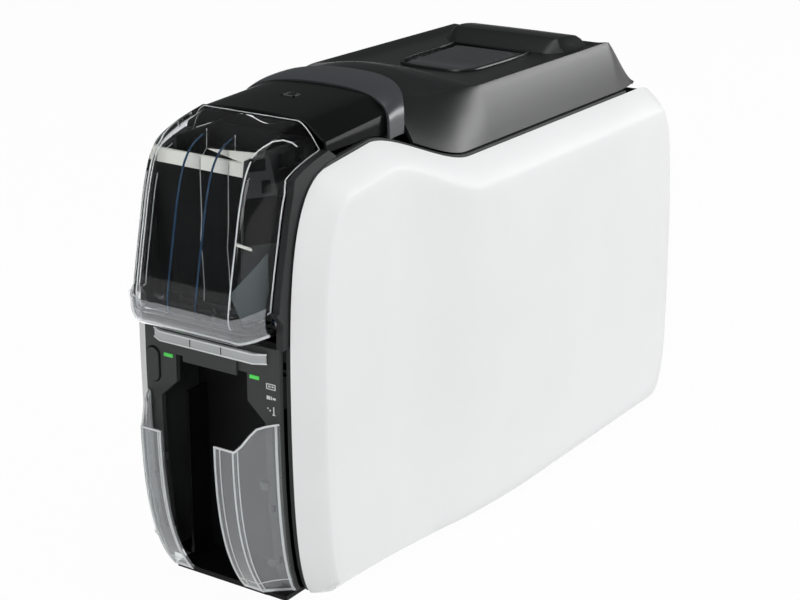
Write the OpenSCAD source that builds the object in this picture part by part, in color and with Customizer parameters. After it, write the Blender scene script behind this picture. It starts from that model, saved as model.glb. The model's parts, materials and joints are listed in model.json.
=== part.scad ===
// Desktop card printer: a slim upright body between two white side panels, a clear
// card hopper door and clear output wings at the front, and a hinged lid over the ribbon bay.
// X runs to the right, Y to the rear and Z up. The origin is on the floor under the middle.

/* [Overall] */
// Width over the white side panels at the rear
body_w = 157; // [153:0.5:170]
// Depth from the wing fronts to the rear of the side panels
body_d = 410; // [404:1:430]
// Height from the floor to the crown of the lid collar
body_h = 264; // [260:0.5:280]
// Wall of the moulded shells
wall = 2.5; // [2:0.1:3]

/* [Side panels] */
// How much narrower each side is at the front than at the rear
front_waist = 15.5; // [14.5:0.5:17]
// Half width between the panels' inner edges at the front
front_gap = 48.2; // [47.8:0.1:49]
// Half width between the panels' inner edges at the rear
rear_gap = 66; // [65:0.5:68]
// Height of the hump's inner edge below the crown
hump_drop = 24.5; // [23:0.5:26]
// Drop from the hump to the rear part of the top edge
shoulder_drop = 20; // [17:0.5:22]
// Height of the panels' lower edge over the floor
panel_lift = 2.5; // [2:0.1:4]
// Wing fronts ahead of the panels' front edge
nose_setback = 27; // [26:0.1:28]

/* [Card path] */
// Width of a card
card_w = 54; // [53.9:0.1:54.5]
// Length of a card
card_l = 85.6; // [85:0.1:86]
// Gap between facing rollers, for one card
nip = 0.8; // [0.7:0.05:1]
// Height of the card path over the floor
path_z = 122; // [121:0.5:124]
// Radius of the driven rollers
roller_r = 7; // [6:0.1:7.5]
// Radius of the idle pinch rollers
pinch_r = 5; // [4:0.1:5.5]
// Radius of the roller shafts
shaft_r = 3; // [2.5:0.1:3.2]
// Running clearance of a shaft in its hole, on the radius
run_gap = 0.05; // [0.03:0.01:0.08]

/* [Ribbon] */
// Radius of the full supply roll
supply_r = 17; // [14:0.5:18]
// Radius of the take-up roll
takeup_r = 9.5; // [9:0.1:10]
// Radius of the spool journals
journal_r = 4; // [3.5:0.1:4.2]
// Gear module of the ribbon drive
gear_m = 1; // [0.95:0.05:1]
// Teeth on the take-up gear
gear_teeth = 30; // [28:1:32]
// Teeth on the ribbon motor's pinion
pinion_teeth = 12; // [12:1:14]

/* [Door and hopper] */
// Gap between the clear door and the side frames
door_gap = 2.3; // [1.9:0.1:3.5]
// Half width of the door's flat front
door_flat = 31; // [29:0.5:32]
// Wall of the clear parts
clear_wall = 2.4; // [2:0.1:3]
// Depth of the card stack in the hopper
stack_d = 30; // [24:1:32]

/* [Lid] */
// Half width of the lid's flat top at its crease
crease_half = 56; // [54:0.5:58]
// Gap band between the side panels and the lid's skirt
skirt_lift = 2.5; // [2.2:0.1:4]
// Half width of the release button
latch_half = 25; // [22:0.5:26]
// Length of the release button
latch_len = 70; // [64:1:74]

/* [Hidden] */
$fn = 48;

// Clearance between pieces that sit in each other without touching
fit_gap = 0.3;

// Stations along the depth
front_y = -body_d / 2;
rear_y = body_d / 2;
nose_y = front_y + nose_setback;
fascia_back = -5;
waist_from = nose_y + 72;
waist_to = nose_y + 142;
flare_from = nose_y + 18;
flare_to = nose_y + 198;

// Levels of the side panels' top edge
hump_z = body_h - hump_drop;
rear_z = hump_z - shoulder_drop;
nose_z = 119;
tail_z = 60;

// Clamps, easing and curves
function smooth(t) = let (c = min(1, max(0, t))) c * c * (3 - 2 * c);
function mix(a, b, t) = a + (b - a) * t;
function bezier(p, t) =
    pow(1 - t, 3) * p[0] + 3 * t * pow(1 - t, 2) * p[1] + 3 * t * t * (1 - t) * p[2] + pow(t, 3) * p[3];
function unit(v) = v / norm(v);
function waist(y) = smooth((y - waist_from) / (waist_to - waist_from));
function inner_x(y) = mix(front_gap, rear_gap, waist(y));
function flare(y) = smooth((y - flare_from) / (flare_to - flare_from));
// Outer half width: a short waist at the top edge and a long flare at the foot
function outer_x(y, z) = body_w / 2 - front_waist * (1 - mix(flare(y), waist(y), min(1, z / rear_z)));
function edge_z(y) = mix(hump_z, rear_z, waist(y));

// Side view of the panels as matching upper and lower chains, from nose to tail
curve_steps = 7;
waist_steps = 12;
top_front = [[nose_y, nose_z], [nose_y, nose_z + 60], [nose_y + 4, hump_z - 6], [nose_y + 36, hump_z - 4.5]];
top_rear = [[rear_y - 40, rear_z], [rear_y - 12, rear_z], [rear_y, rear_z - 12], [rear_y, tail_z]];
low_front = [[nose_y, nose_z], [nose_y, nose_z - 60], [nose_y + 3, 14], [nose_y + 14, panel_lift]];
low_rear = [[rear_y - 26, panel_lift], [rear_y - 10, panel_lift + 1], [rear_y, 14], [rear_y, tail_z]];
function waist_y(i) = mix(waist_from, waist_to, i / waist_steps);
flare_steps = 3;
lead_y = mix(top_front[3][0], waist_from, 0.5);
flare_ys = [for (i = [1 : flare_steps]) mix(waist_to, flare_to, i / flare_steps)];
upper_chain = concat(
    [for (i = [0 : curve_steps]) bezier(top_front, (i + 0.15) / (curve_steps + 0.15))],
    [[lead_y, mix(top_front[3][1], hump_z, 0.5)]],
    [for (i = [0 : waist_steps]) [waist_y(i), edge_z(waist_y(i))]],
    [for (y = flare_ys) [y, rear_z]],
    [for (i = [0 : curve_steps]) bezier(top_rear, i / (curve_steps + 0.15))]);
lower_chain = concat(
    [for (i = [0 : curve_steps]) bezier(low_front, (i + 0.15) / (curve_steps + 0.15))],
    [[lead_y, panel_lift]],
    [for (i = [0 : waist_steps]) [waist_y(i), panel_lift]],
    [for (y = flare_ys) [y, panel_lift]],
    [for (i = [0 : curve_steps]) bezier(low_rear, i / (curve_steps + 0.15))]);
chain_n = len(upper_chain);
outline = concat(upper_chain, [for (i = [chain_n - 1 : -1 : 0]) lower_chain[i]]);
outline_n = len(outline);
function outline_normal(i) =
    let (a = outline[(i + outline_n - 1) % outline_n], b = outline[(i + 1) % outline_n], t = unit(b - a))
    [-t[1], t[0]];

// Inset of the outline: one amount for each direction that the edge faces
function edge_inset(n, y, front, hump, rear_top, rear, low) =
    n[0] * n[0] * (n[0] < 0 ? front : rear) + n[1] * n[1] * (n[1] > 0 ? mix(hump, rear_top, waist(y)) : low);
function inset_outline(front, hump, rear_top, rear, low) =
    [for (i = [0 : outline_n - 1])
        let (n = outline_normal(i))
        outline[i] - n * edge_inset(n, outline[i][0], front, hump, rear_top, rear, low)];

// Closed solid from a stack of equal rings, closed at both ends by vertical strips
module ring_solid(rings) {
    n = len(rings[0]);
    m = len(rings);
    function at(k, i) = k * n + (i % n);
    quads = concat(
        [for (k = [0 : m - 2]) for (i = [0 : n - 1])
            [at(k, i), at(k, i + 1), at(k + 1, i + 1), at(k + 1, i)]],
        [for (i = [0 : n / 2 - 2]) [at(0, i + 1), at(0, i), at(0, n - 1 - i), at(0, n - 2 - i)]],
        [for (i = [0 : n / 2 - 2])
            [at(m - 1, i), at(m - 1, i + 1), at(m - 1, n - 2 - i), at(m - 1, n - 1 - i)]]);
    polyhedron([for (r = rings) each r], [for (q = quads) each [[q[0], q[2], q[1]], [q[0], q[3], q[2]]]]);
}

// Closed sheet between two grids of points with the same rows and columns
module sheet(outer, inner) {
    rows = len(outer);
    cols = len(outer[0]);
    n = rows * cols;
    function at(r, c, side) = side * n + r * cols + c;
    quads = concat(
        [for (r = [0 : rows - 2]) for (c = [0 : cols - 2])
            each [[at(r, c, 0), at(r, c + 1, 0), at(r + 1, c + 1, 0), at(r + 1, c, 0)],
                [at(r, c, 1), at(r + 1, c, 1), at(r + 1, c + 1, 1), at(r, c + 1, 1)]]],
        [for (c = [0 : cols - 2])
            each [[at(0, c + 1, 0), at(0, c, 0), at(0, c, 1), at(0, c + 1, 1)],
                [at(rows - 1, c, 0), at(rows - 1, c + 1, 0), at(rows - 1, c + 1, 1), at(rows - 1, c, 1)]]],
        [for (r = [0 : rows - 2])
            each [[at(r, 0, 0), at(r + 1, 0, 0), at(r + 1, 0, 1), at(r, 0, 1)],
                [at(r + 1, cols - 1, 0), at(r, cols - 1, 0), at(r, cols - 1, 1), at(r + 1, cols - 1, 1)]]]);
    polyhedron(
        concat([for (r = outer) each r], [for (r = inner) each r]),
        [for (q = quads) each [[q[0], q[2], q[1]], [q[0], q[3], q[2]]]]);
}

// Round rod or hole along X, from x1 to x2, centred on a point of the side view
module rod_x(at, r, x1, x2) {
    translate([x1, at[0], at[1]]) rotate([0, 90, 0]) cylinder(r = r, h = x2 - x1);
}
module tube_x(at, r, bore, x1, x2) {
    difference() {
        rod_x(at, r, x1, x2);
        rod_x(at, bore, x1 - 1, x2 + 1);
    }
}
// Side view shape, given as points of Y and Z, run along X
module run_x(points, x1, x2) {
    translate([x1, 0, 0]) rotate([90, 0, 90]) linear_extrude(x2 - x1) polygon(points);
}
// Front view shape, given as points of X and Z, run along Y
module run_y(points, y1, y2) {
    translate([0, y2, 0]) rotate([90, 0, 0]) linear_extrude(y2 - y1) polygon(points);
}
module block(low, high) {
    translate(low) cube(high - low);
}

// Bevel of the panels: a share across the width and the inset that goes with it
bevel_shares = [0, 0.35, 0.65, 0.85, 0.96, 1];
bevel_front = 12;
bevel_hump = 14;
bevel_top = 16;
bevel_rear = 8;
bevel_low = 6;
function bevel_depth(f) = 0.5 * f + 0.5 * (1 - sqrt(1 - f * f));
function panel_ring(f, w) =
    let (g = bevel_depth(f),
        loop = inset_outline(bevel_front * g + w, bevel_hump * g + w, bevel_top * g + w, bevel_rear * g + w,
            bevel_low * g + w))
    [for (i = [0 : outline_n - 1])
        let (y = outline[i][0]) [mix(inner_x(y), outer_x(y, outline[i][1]) - w, f), loop[i][0], loop[i][1]]];
module side_panel_right() {
    color("whitesmoke") ring_solid(concat(
        [for (k = [len(bevel_shares) - 1 : -1 : 0]) panel_ring(bevel_shares[k], wall)],
        [for (f = bevel_shares) panel_ring(f, 0)]));
}
module right_side_panel() { side_panel_right(); }
module left_side_panel() { color("whitesmoke") mirror([1, 0, 0]) side_panel_right(); }

// Side frames: upright plates that follow the panels' inner edge
frame_t = 3;
frame_gap = 0.4;
frame_proud = 1.5;
base_z = 3;
tray_t = 3;
floor_z = base_z + tray_t;
hinge_at = [rear_y - 40, rear_z - 4];
pocket_r = 15;
rim_r = 17;
waist_ys = [for (i = [0 : waist_steps]) waist_y(i)];
function plan_line(off) = [for (y = concat([front_y], waist_ys, [rear_y])) [inner_x(y) - off, y]];
function reversed(list) = [for (i = [len(list) - 1 : -1 : 0]) list[i]];
// Plan area inside the side frames
module plan_area(off) {
    line = plan_line(off);
    polygon(concat(line, [for (p = reversed(line)) [-p[0], p[1]]]));
}
module side_frame_right() {
    color([0.09, 0.09, 0.1]) difference() {
        intersection() {
            run_x(inset_outline(1, -frame_proud, -frame_proud, 2, 1), 0, body_w / 2);
            translate([0, 0, -1]) linear_extrude(body_h + 2)
                polygon(concat(plan_line(frame_gap), reversed(plan_line(frame_gap + frame_t))));
        }
        rod_x(hinge_at, pocket_r, 0, body_w / 2);
    }
}
module right_side_frame() { side_frame_right(); }
module left_side_frame() { color([0.09, 0.09, 0.1]) mirror([1, 0, 0]) side_frame_right(); }

// Base tray and feet
body_in = frame_gap + frame_t;
foot_r = 8;
foot_front = [36, nose_y + 40];
foot_rear = [52, rear_y - 66];
module base_tray() {
    color([0.07, 0.07, 0.08]) translate([0, 0, base_z]) linear_extrude(tray_t) intersection() {
        plan_area(body_in);
        translate([-body_w, nose_y + 28]) square([2 * body_w, rear_y - 42 - nose_y - 28]);
    }
}
module rubber_feet() {
    color([0.15, 0.15, 0.15]) for (side = [-1, 1]) for (p = [foot_front, foot_rear])
        translate([side * p[0], p[1], 0]) cylinder(r = foot_r, h = base_z);
}

// Front fascia: a band behind the panels' front edge with the output opening cut through
fascia_t = 3;
fascia_half = front_gap - body_in;
door_half = fascia_half - door_gap;
fascia_top = hump_z - 12;
opening_half = 23.8;
opening_top = 130.5;
opening_neck = 115;
opening_low_half = 35;
opening_low = 105;
door_low = 146.5;
fascia_low = floor_z;
door_frame_half = door_half + 0.9;
button_at = [-39.4, 122];
button_r = 4;
button_h = 19;
light_half = 3;
light_at = [28.8, 129];
function front_line(off) =
    [for (i = [0 : curve_steps]) let (p = bezier(low_front, 1 - i / curve_steps)) [p[0] + off, p[1]],
    for (i = [1 : curve_steps]) let (p = bezier(top_front, i / curve_steps)) [p[0] + off, p[1]]];
module front_band(off, t) {
    run_x(concat(front_line(off), reversed(front_line(off + t))), -fascia_half, fascia_half);
}
module front_hole(points) {
    translate([0, nose_y + 60, 0]) rotate([90, 0, 0]) linear_extrude(80) polygon(points);
}
module oval_y(at, r, h, y1, y2) {
    translate([at[0], y2, at[1]]) rotate([90, 0, 0]) linear_extrude(y2 - y1) {
        for (s = [-1, 1]) translate([0, s * (h / 2 - r)]) circle(r = r);
        square([2 * r, h - 2 * r], center = true);
    }
}
module front_fascia() {
    color([0.2, 0.21, 0.21]) difference() {
        intersection() {
            front_band(fascia_back, fascia_t);
            block([-fascia_half, nose_y - 10, fascia_low], [fascia_half, nose_y + 80, fascia_top]);
        }
        front_hole([[-door_frame_half, door_low], [door_frame_half, door_low],
            [door_frame_half, body_h], [-door_frame_half, body_h]]);
        front_hole([[-opening_half, opening_top], [-opening_half, opening_neck],
            [-opening_low_half, opening_low], [-opening_low_half, 0], [opening_low_half, 0],
            [opening_low_half, opening_low], [opening_half, opening_neck], [opening_half, opening_top]]);
        oval_y(button_at, button_r + fit_gap, button_h + 2 * fit_gap, nose_y - 9, nose_y + 20);
        for (s = [-1, 1]) block([s * light_at[0] - light_half, nose_y - 9, light_at[1] - 1],
            [s * light_at[0] + light_half, nose_y + 20, light_at[1] + 1]);
    }
}

// Output bin: the black recess that the finished cards drop into
bin_half = card_w / 2 + 2;
bin_back_y = nose_y + 26;
bin_t = 2;
bin_top = path_z + 14;
bin_floor_front = nose_y - 2;
exit_low = path_z - 4;
exit_high = path_z + 4;
module output_bin() {
    color([0.03, 0.03, 0.035]) difference() {
        union() {
            block([-bin_half - 6, bin_back_y, floor_z], [bin_half + 6, bin_back_y + bin_t, bin_top]);
            for (s = [-1, 1]) block([s > 0 ? bin_half : -bin_half - bin_t, nose_y + 10, floor_z],
                [s > 0 ? bin_half + bin_t : -bin_half, bin_back_y, opening_low - 2]);
            block([-bin_half - bin_t, bin_floor_front, base_z],
                [bin_half + bin_t, bin_back_y + bin_t, floor_z]);
        }
        block([-bin_half, bin_back_y - 1, exit_low], [bin_half, bin_back_y + bin_t + 1, exit_high]);
    }
}

// Output wings: clear upright walls with an oblique side, one the mirror of the other
wing_in = 18;
wing_corner = 31;
wing_out = 44.6;
function fascia_y(z) = lookup(z, [for (p = front_line(fascia_back)) [p[1], p[0]]]);
wing_top = 95;
wing_rise = 11;
wing_front = [[front_y + 22, floor_z], [front_y + 8, 24], [front_y, 50], [front_y, wing_top]];
wing_steps = 9;
wing_cols = [wing_in, 24.5, wing_corner, mix(wing_corner, wing_out, 0.5), wing_out];
function wing_point(i, x, w) =
    let (t = i / wing_steps, p = bezier(wing_front, t),
        f = max(0, (x - wing_corner) / (wing_out - wing_corner)),
        z = p[1] + t * wing_rise * f, back = fascia_y(z) - 0.05,
        slant = unit([back - p[0], wing_corner - wing_out]))
    [x - (f > 0 ? w * slant[0] : 0) - (f == 1 ? w * 0.4 : 0),
        mix(p[0], back, f) + (f == 1 ? 0 : w * (f > 0 ? -slant[1] : 1)), z];
module wing_right() {
    color([0.75, 0.78, 0.8, 0.5]) sheet(
        [for (i = [0 : wing_steps]) [for (x = wing_cols) wing_point(i, x, 0)]],
        [for (i = [0 : wing_steps]) [for (x = wing_cols) wing_point(i, x, clear_wall)]]);
}
module right_wing() { wing_right(); }
module left_wing() { color([0.75, 0.78, 0.8, 0.5]) mirror([1, 0, 0]) wing_right(); }
clip_zs = [24, 70];
module wing_clips() {
    color([0.2, 0.2, 0.22]) for (s = [-1, 1]) for (z = clip_zs)
        translate([s * (wing_out - 9.5), fascia_y(z + 2) - 0.05, z]) block([-2.5, -3.4, -2], [2.5, 0, 2]);
}

// Light bar across the front, with ends that bend back
bar_low = 136.5;
bar_h = 7.5;
bar_half = 31;
bar_t = 2.8;
bar_bend = 6;
bar_y = nose_y - 9;
module light_bar() {
    color([0.85, 0.87, 0.88]) translate([0, 0, bar_low]) linear_extrude(bar_h)
        polygon([[-bar_half, bar_y], [bar_half, bar_y], [bar_half + bar_bend, bar_y + bar_t],
            [-bar_half - bar_bend, bar_y + bar_t]]);
}
module status_lights() {
    color([0.2, 0.7, 0.25]) for (s = [-1, 1])
        block([s * light_at[0] - light_half + 0.05, nose_y + fascia_back - 0.4, light_at[1] - 0.95],
            [s * light_at[0] + light_half - 0.05, nose_y + fascia_back + fascia_t, light_at[1] + 0.95]);
}
button_proud = 1;
flange_y = nose_y + fascia_back + fascia_t + 1;
module power_button() {
    color([0.16, 0.17, 0.17]) {
        oval_y(button_at, button_r, button_h, nose_y + fascia_back - button_proud, flange_y);
        oval_y(button_at, button_r + 1, button_h + 2, flange_y, flange_y + 1.5);
    }
}
// Plate over the output opening, behind the light bar
slot_half = 18;
module slot_plate() {
    color([0.24, 0.25, 0.25]) block([-slot_half, bar_y + bar_t, 128],
        [slot_half, nose_y + fascia_back - 0.05, bar_low + bar_h]);
}

// Hopper housing: an open-fronted box for standing cards, with a window for the pick roller
pick_r = 8;
pick_half = 20;
hop_half = card_w / 2 + 1.5;
hop_t = 2.5;
hop_low = 158;
hop_high = hop_low + card_l + 2;
hop_back = nose_y + 46;
hop_front = hop_back - stack_d - 8;
rail_low = hop_low + 42;
rail_h = 8;
lug_d = 4;
module hopper_housing() {
    color([0.05, 0.05, 0.055]) difference() {
        union() {
            block([-hop_half - hop_t, hop_front, hop_low - hop_t], [hop_half + hop_t, hop_back, hop_high]);
            block([-plate_in + 0.05, hop_back - lug_d, hop_low + 28],
                [plate_in - 0.05, hop_back, plate_top - 2]);
        }
        block([-hop_half, hop_front - 1, hop_low], [hop_half, hop_back - hop_t, hop_high + 1]);
        block([-body_w, hop_front + 4, rail_low], [body_w, hop_back - 4, rail_low + rail_h]);
        block([-hop_half, hop_back - 10, hop_low - hop_t - 1], [hop_half, hop_back - hop_t, hop_low + 1]);
        for (z = [hop_low + 62, hop_low + 76]) for (y = [hop_front + 8, hop_front + 22])
            block([-body_w, y, z], [body_w, y + 8, z + 8]);
        block([-pick_half - 2, hop_back - hop_t - 1, hop_low + 1],
            [pick_half + 2, hop_back + 1, hop_low + 22]);
    }
}
pusher_t = 3;
pusher_y = hop_back - hop_t - 2 - pusher_t;
module card_pusher() {
    color([0.08, 0.08, 0.09]) {
        block([-hop_half + 1, pusher_y, hop_low + 24], [hop_half - 1, pusher_y + pusher_t, hop_high - 10]);
        for (s = [-1, 1]) translate([s * hop_half, 0, 0])
            block([-1.5, pusher_y, rail_low + fit_gap],
                [1.5, pusher_y + pusher_t, rail_low + rail_h - fit_gap]);
    }
}

// Door: a clear bowed shell on two pins at its foot, with two inner ribs
door_pin = [nose_y + 4.5, 157];
pin_r = 2;
door_path = [[nose_y + 4, 153], [nose_y - 8, 153.5], [nose_y - 18, 156], [nose_y - 25, 160.5],
    [nose_y - 26.8, 166], [nose_y - 25.7, 175], [nose_y - 22.6, 190], [nose_y - 19.2, 205],
    [nose_y - 15.8, 220], [nose_y - 12, 232], [nose_y - 8.1, 240], [nose_y - 2, 246.5],
    [nose_y + 8, 251], [nose_y + 20, 254.3], [nose_y + 34, 257]];
door_n = len(door_path);
door_half_cols = [18, door_flat - 2, door_flat + 2, door_half - 5, door_half];
door_cols = concat([for (x = reversed(door_half_cols)) -x], [0], door_half_cols);
function door_normal(k) =
    let (a = door_path[max(0, k - 1)], b = door_path[min(door_n - 1, k + 1)], t = unit(b - a)) [t[1], -t[0]];
function door_setback(x) = let (d = max(0, abs(x) - door_flat)) d * 1.4 + 0.025 * d * d;
function door_point(k, x, w) =
    let (n = door_normal(k), s = door_setback(x) * (k < 2 ? 0.15 : k < 4 ? 0.6 : k > 10 ? 0.75 : 1) + w,
        squeeze = 1 - w / door_half)
    [x * squeeze, door_path[k][0] + n[0] * s, door_path[k][1] + n[1] * s];
rib_xs = [-11, 7.5];
rib_first = 4;
rib_last = 11;
rib_d = 7;
lug_x = door_half - 2.1;
lug_r = 4.2;
lug_reach = 12;
lug_low = door_pin[1] - 3.2;
lug_high = door_pin[1] + 3;
module hopper_door() {
    color([0.3, 0.34, 0.38, 0.5]) difference() {
        union() {
            sheet([for (k = [0 : door_n - 1]) [for (x = door_cols) door_point(k, x, 0)]],
                [for (k = [0 : door_n - 1]) [for (x = door_cols) door_point(k, x, clear_wall)]]);
            for (x = rib_xs) run_x(concat(
                [for (k = [rib_first : rib_last]) door_path[k] + 1.2 * door_normal(k)],
                [for (k = [rib_last : -1 : rib_first])
                    door_path[k] + (k == rib_first || k == rib_last ? 2.6 : rib_d) * door_normal(k)]),
                x - 0.6, x + 0.6);
            for (s = [-1, 1]) translate([s * lug_x, 0, 0]) {
                rod_x(door_pin, lug_r, -2, 2);
                block([-2, door_pin[0] - lug_reach, lug_low], [2, door_pin[0], lug_high]);
            }
        }
        rod_x(door_pin, pin_r + run_gap, -body_w, body_w);
    }
}
module door_hinge_pins() {
    color("silver") for (s = [-1, 1]) rod_x(door_pin, pin_r,
        s > 0 ? lug_x - 3 : -fascia_half + 0.05, s > 0 ? fascia_half - 0.05 : 3 - lug_x);
}

// Hopper cover: gloss cap over the hopper between door and lid
cover_lap = 1.4;
cover_half = fascia_half + cover_lap;
cover_flat = 33;
cover_z = body_h - 5.7;
cover_shoulder = body_h - 14;
cover_foot = hump_z + frame_proud + 0.1;
cover_setback = 36;
cover_front = nose_y + cover_setback;
lid_front = nose_y + 104;
cover_rear = lid_front - 0.6;
cover_section = [[cover_half, cover_foot], [cover_half - 0.6, cover_shoulder - 1],
    [cover_half - 1.8, cover_shoulder], [cover_flat, cover_z - 1.5], [cover_flat - 13, cover_z]];
function cover_outline(w) =
    let (half = [for (p = cover_section) [p[0] - w, p[1] - (p[1] > cover_foot ? w : 0.01 * w)]])
    concat(half, [for (p = reversed(half)) [-p[0], p[1]]]);
arm_y = fascia_y(fascia_top);
apron_ys = [for (i = [0 : 5]) mix(waist_from, cover_rear, i / 5)];
module hopper_cover() {
    color([0.05, 0.05, 0.055]) difference() {
        union() {
            difference() {
                run_y(cover_outline(0), cover_front, cover_rear);
                run_y(cover_outline(wall), cover_front - 1, cover_rear + 1);
            }
            for (s = [-1, 1]) run_x([[cover_front + 2, cover_foot], [cover_front + 2, cover_shoulder - 2],
                [cover_front - 9, cover_shoulder - 4], [arm_y + 7, hump_z - 2], [arm_y, fascia_top + 0.1],
                [arm_y + 3, fascia_top + 0.1], [arm_y + 14, hump_z - 2], [cover_front - 6, cover_foot]],
                s > 0 ? door_half + 0.6 : -fascia_half + 0.1, s > 0 ? fascia_half - 0.1 : -door_half - 0.6);
            for (s = [-1, 1]) run_x(concat([[waist_from, cover_foot + 0.5]],
                [for (y = apron_ys) [y, edge_z(y) + frame_proud + 0.1]], [[cover_rear, cover_foot + 0.5]]),
                s > 0 ? cover_half - wall - 0.2 : -cover_half + 0.1,
                s > 0 ? cover_half - 0.1 : wall + 0.2 - cover_half);
        }
        block([-hop_half - hop_t - 1, cover_front - 20, 0],
            [hop_half + hop_t + 1, hop_back + 1, hop_high + 0.5]);
    }
}

// Rear cover and connector plate
plate_y = rear_y - 36;
plate_t = 2.5;
ledge_z = 74;
vent_n = 6;
module rear_cover() {
    color([0.07, 0.07, 0.08]) difference() {
        intersection() {
            difference() {
                run_x(inset_outline(4, 3, 4, 3, 4), -body_w / 2, body_w / 2);
                run_x(inset_outline(8, 6, 6.5, 5.5, 7), -body_w, body_w);
            }
            linear_extrude(body_h) plan_area(body_in);
            block([-body_w, hinge_at[0] + rim_r, ledge_z], [body_w, rear_y, body_h]);
        }
        for (i = [0 : vent_n - 1]) block([-40, rear_y - 20, 96 + 10 * i], [40, rear_y + 1, 100 + 10 * i]);
    }
    color([0.07, 0.07, 0.08]) intersection() {
        linear_extrude(body_h) plan_area(body_in);
        block([-body_w, plate_y, ledge_z - 2.5], [body_w, rear_y - 6.5, ledge_z]);
    }
}
inlet_at = [-38, 36];
usb_at = [0, 34];
network_at = [32, 35];
module connector_plate() {
    color([0.1, 0.1, 0.11]) difference() {
        intersection() {
            linear_extrude(body_h) plan_area(body_in);
            block([-body_w, plate_y, floor_z], [body_w, plate_y + plate_t, ledge_z - 2.5]);
        }
        translate([inlet_at[0], plate_y - 1, inlet_at[1]]) block([-7, 0, -7], [7, 5, 7]);
        translate([usb_at[0], plate_y - 1, usb_at[1]]) block([-6.2, 0, -5.6], [6.2, 5, 5.6]);
        translate([network_at[0], plate_y - 1, network_at[1]]) block([-8.2, 0, -7], [8.2, 5, 7]);
        block([-62, plate_y - 1, 54], [-55, plate_y + 5, 57]);
    }
}
module power_inlet() {
    color([0.05, 0.05, 0.05]) translate([inlet_at[0], plate_y, inlet_at[1]]) {
        difference() {
            block([-6.9, -14, -6.9], [6.9, plate_t + 0.5, 6.9]);
            translate([0, plate_t + 1, 0]) rotate([90, 0, 0]) cylinder(r = 4, h = 13);
        }
        translate([0, plate_t, 0]) rotate([90, 0, 0]) cylinder(r = 1.2, h = 12);
    }
}
module usb_port() {
    color([0.75, 0.75, 0.77]) translate([usb_at[0], plate_y, usb_at[1]]) difference() {
        block([-6.1, -14, -5.5], [6.1, plate_t + 0.5, 5.5]);
        difference() {
            block([-4.3, -9, -3.9], [4.3, plate_t + 1, 3.9]);
            block([-2.8, -10, -1.4], [2.8, plate_t - 1, 1.4]);
        }
    }
}
module network_port() {
    color([0.7, 0.7, 0.72]) translate([network_at[0], plate_y, network_at[1]]) difference() {
        block([-8.1, -16, -6.9], [8.1, plate_t + 0.5, 6.9]);
        block([-5.9, -12, -4.2], [5.9, plate_t + 1, 3.8]);
        block([-3, -12, -5.8], [3, plate_t + 1, -4]);
    }
}

// Inner frame plates with the shaft holes and the drop-in slots for the spools
plate_in = card_w / 2 + 6;
plate_w = 2;
plate_out = plate_in + plate_w;
plate_top = rear_z - 12;
low_z = path_z - roller_r;
clean_at = [hop_back + 40, path_z - roller_r];
front_feed_at = [hop_back + 72, low_z];
platen_at = [front_feed_at[0] + 65, low_z];
rear_feed_at = [platen_at[0] + 65, low_z];
front_pinch_at = [front_feed_at[0], path_z + nip + pinch_r];
rear_pinch_at = [rear_feed_at[0], path_z + nip + pinch_r];
pick_at = [hop_back + pick_r - 3, hop_low + 12];
motor_at = [platen_at[0] + 25, low_z - 46];
takeup_at = [platen_at[0] - 40, path_z + 40];
supply_at = [platen_at[0] + 46, path_z + 40];
spread = gear_m * (gear_teeth + pinion_teeth) / 2 + 0.25;
pinion_at = takeup_at + spread * [-0.94, -0.341];
plate_front = bin_back_y + 8;
plate_rear = plate_y - 18;
hole_r = shaft_r + run_gap;
module frame_plate(x1) {
    color([0.72, 0.73, 0.75]) difference() {
        run_x([[plate_front, floor_z], [plate_rear, floor_z], [plate_rear, 60], [hinge_at[0] - 18, 110],
            [hinge_at[0] - 18, plate_top - 20], [supply_at[0] + 24, plate_top],
            [hop_back - lug_d, plate_top], [hop_back - lug_d, hop_low - 6], [plate_front, 110]],
            x1, x1 + plate_w);
        for (p = [front_feed_at, platen_at, rear_feed_at, clean_at, motor_at, pinion_at, pick_at,
            front_pinch_at, rear_pinch_at]) rod_x(p, hole_r, x1 - 1, x1 + plate_w + 1);
        for (p = [takeup_at, supply_at]) {
            rod_x(p, journal_r + 0.3, x1 - 1, x1 + plate_w + 1);
            block([x1 - 1, p[0] - journal_r - 0.3, p[1]],
                [x1 + plate_w + 1, p[0] + journal_r + 0.3, plate_top + 1]);
        }
        block([x1 - 1, platen_at[0] - 30, 20], [x1 + plate_w + 1, platen_at[0], 60]);
    }
}
module left_frame_plate() { frame_plate(-plate_out); }
module right_frame_plate() { frame_plate(plate_in); }

// Card guide: flat strips between the rollers, carried by lugs to the plates
guide_t = 1.5;
guide_z = path_z - 1;
guide_cuts = [clean_at[0], front_feed_at[0], platen_at[0], rear_feed_at[0]];
module card_guide() {
    color([0.12, 0.12, 0.13]) {
        difference() {
            block([-plate_in + 0.05, bin_back_y + bin_t, guide_z - guide_t],
                [plate_in - 0.05, rear_feed_at[0] + 50, guide_z]);
            for (y = guide_cuts) block([-card_w / 2 - 3, y - roller_r - 1, guide_z - 5],
                [card_w / 2 + 3, y + roller_r + 1, guide_z + 5]);
        }
    }
}

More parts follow.
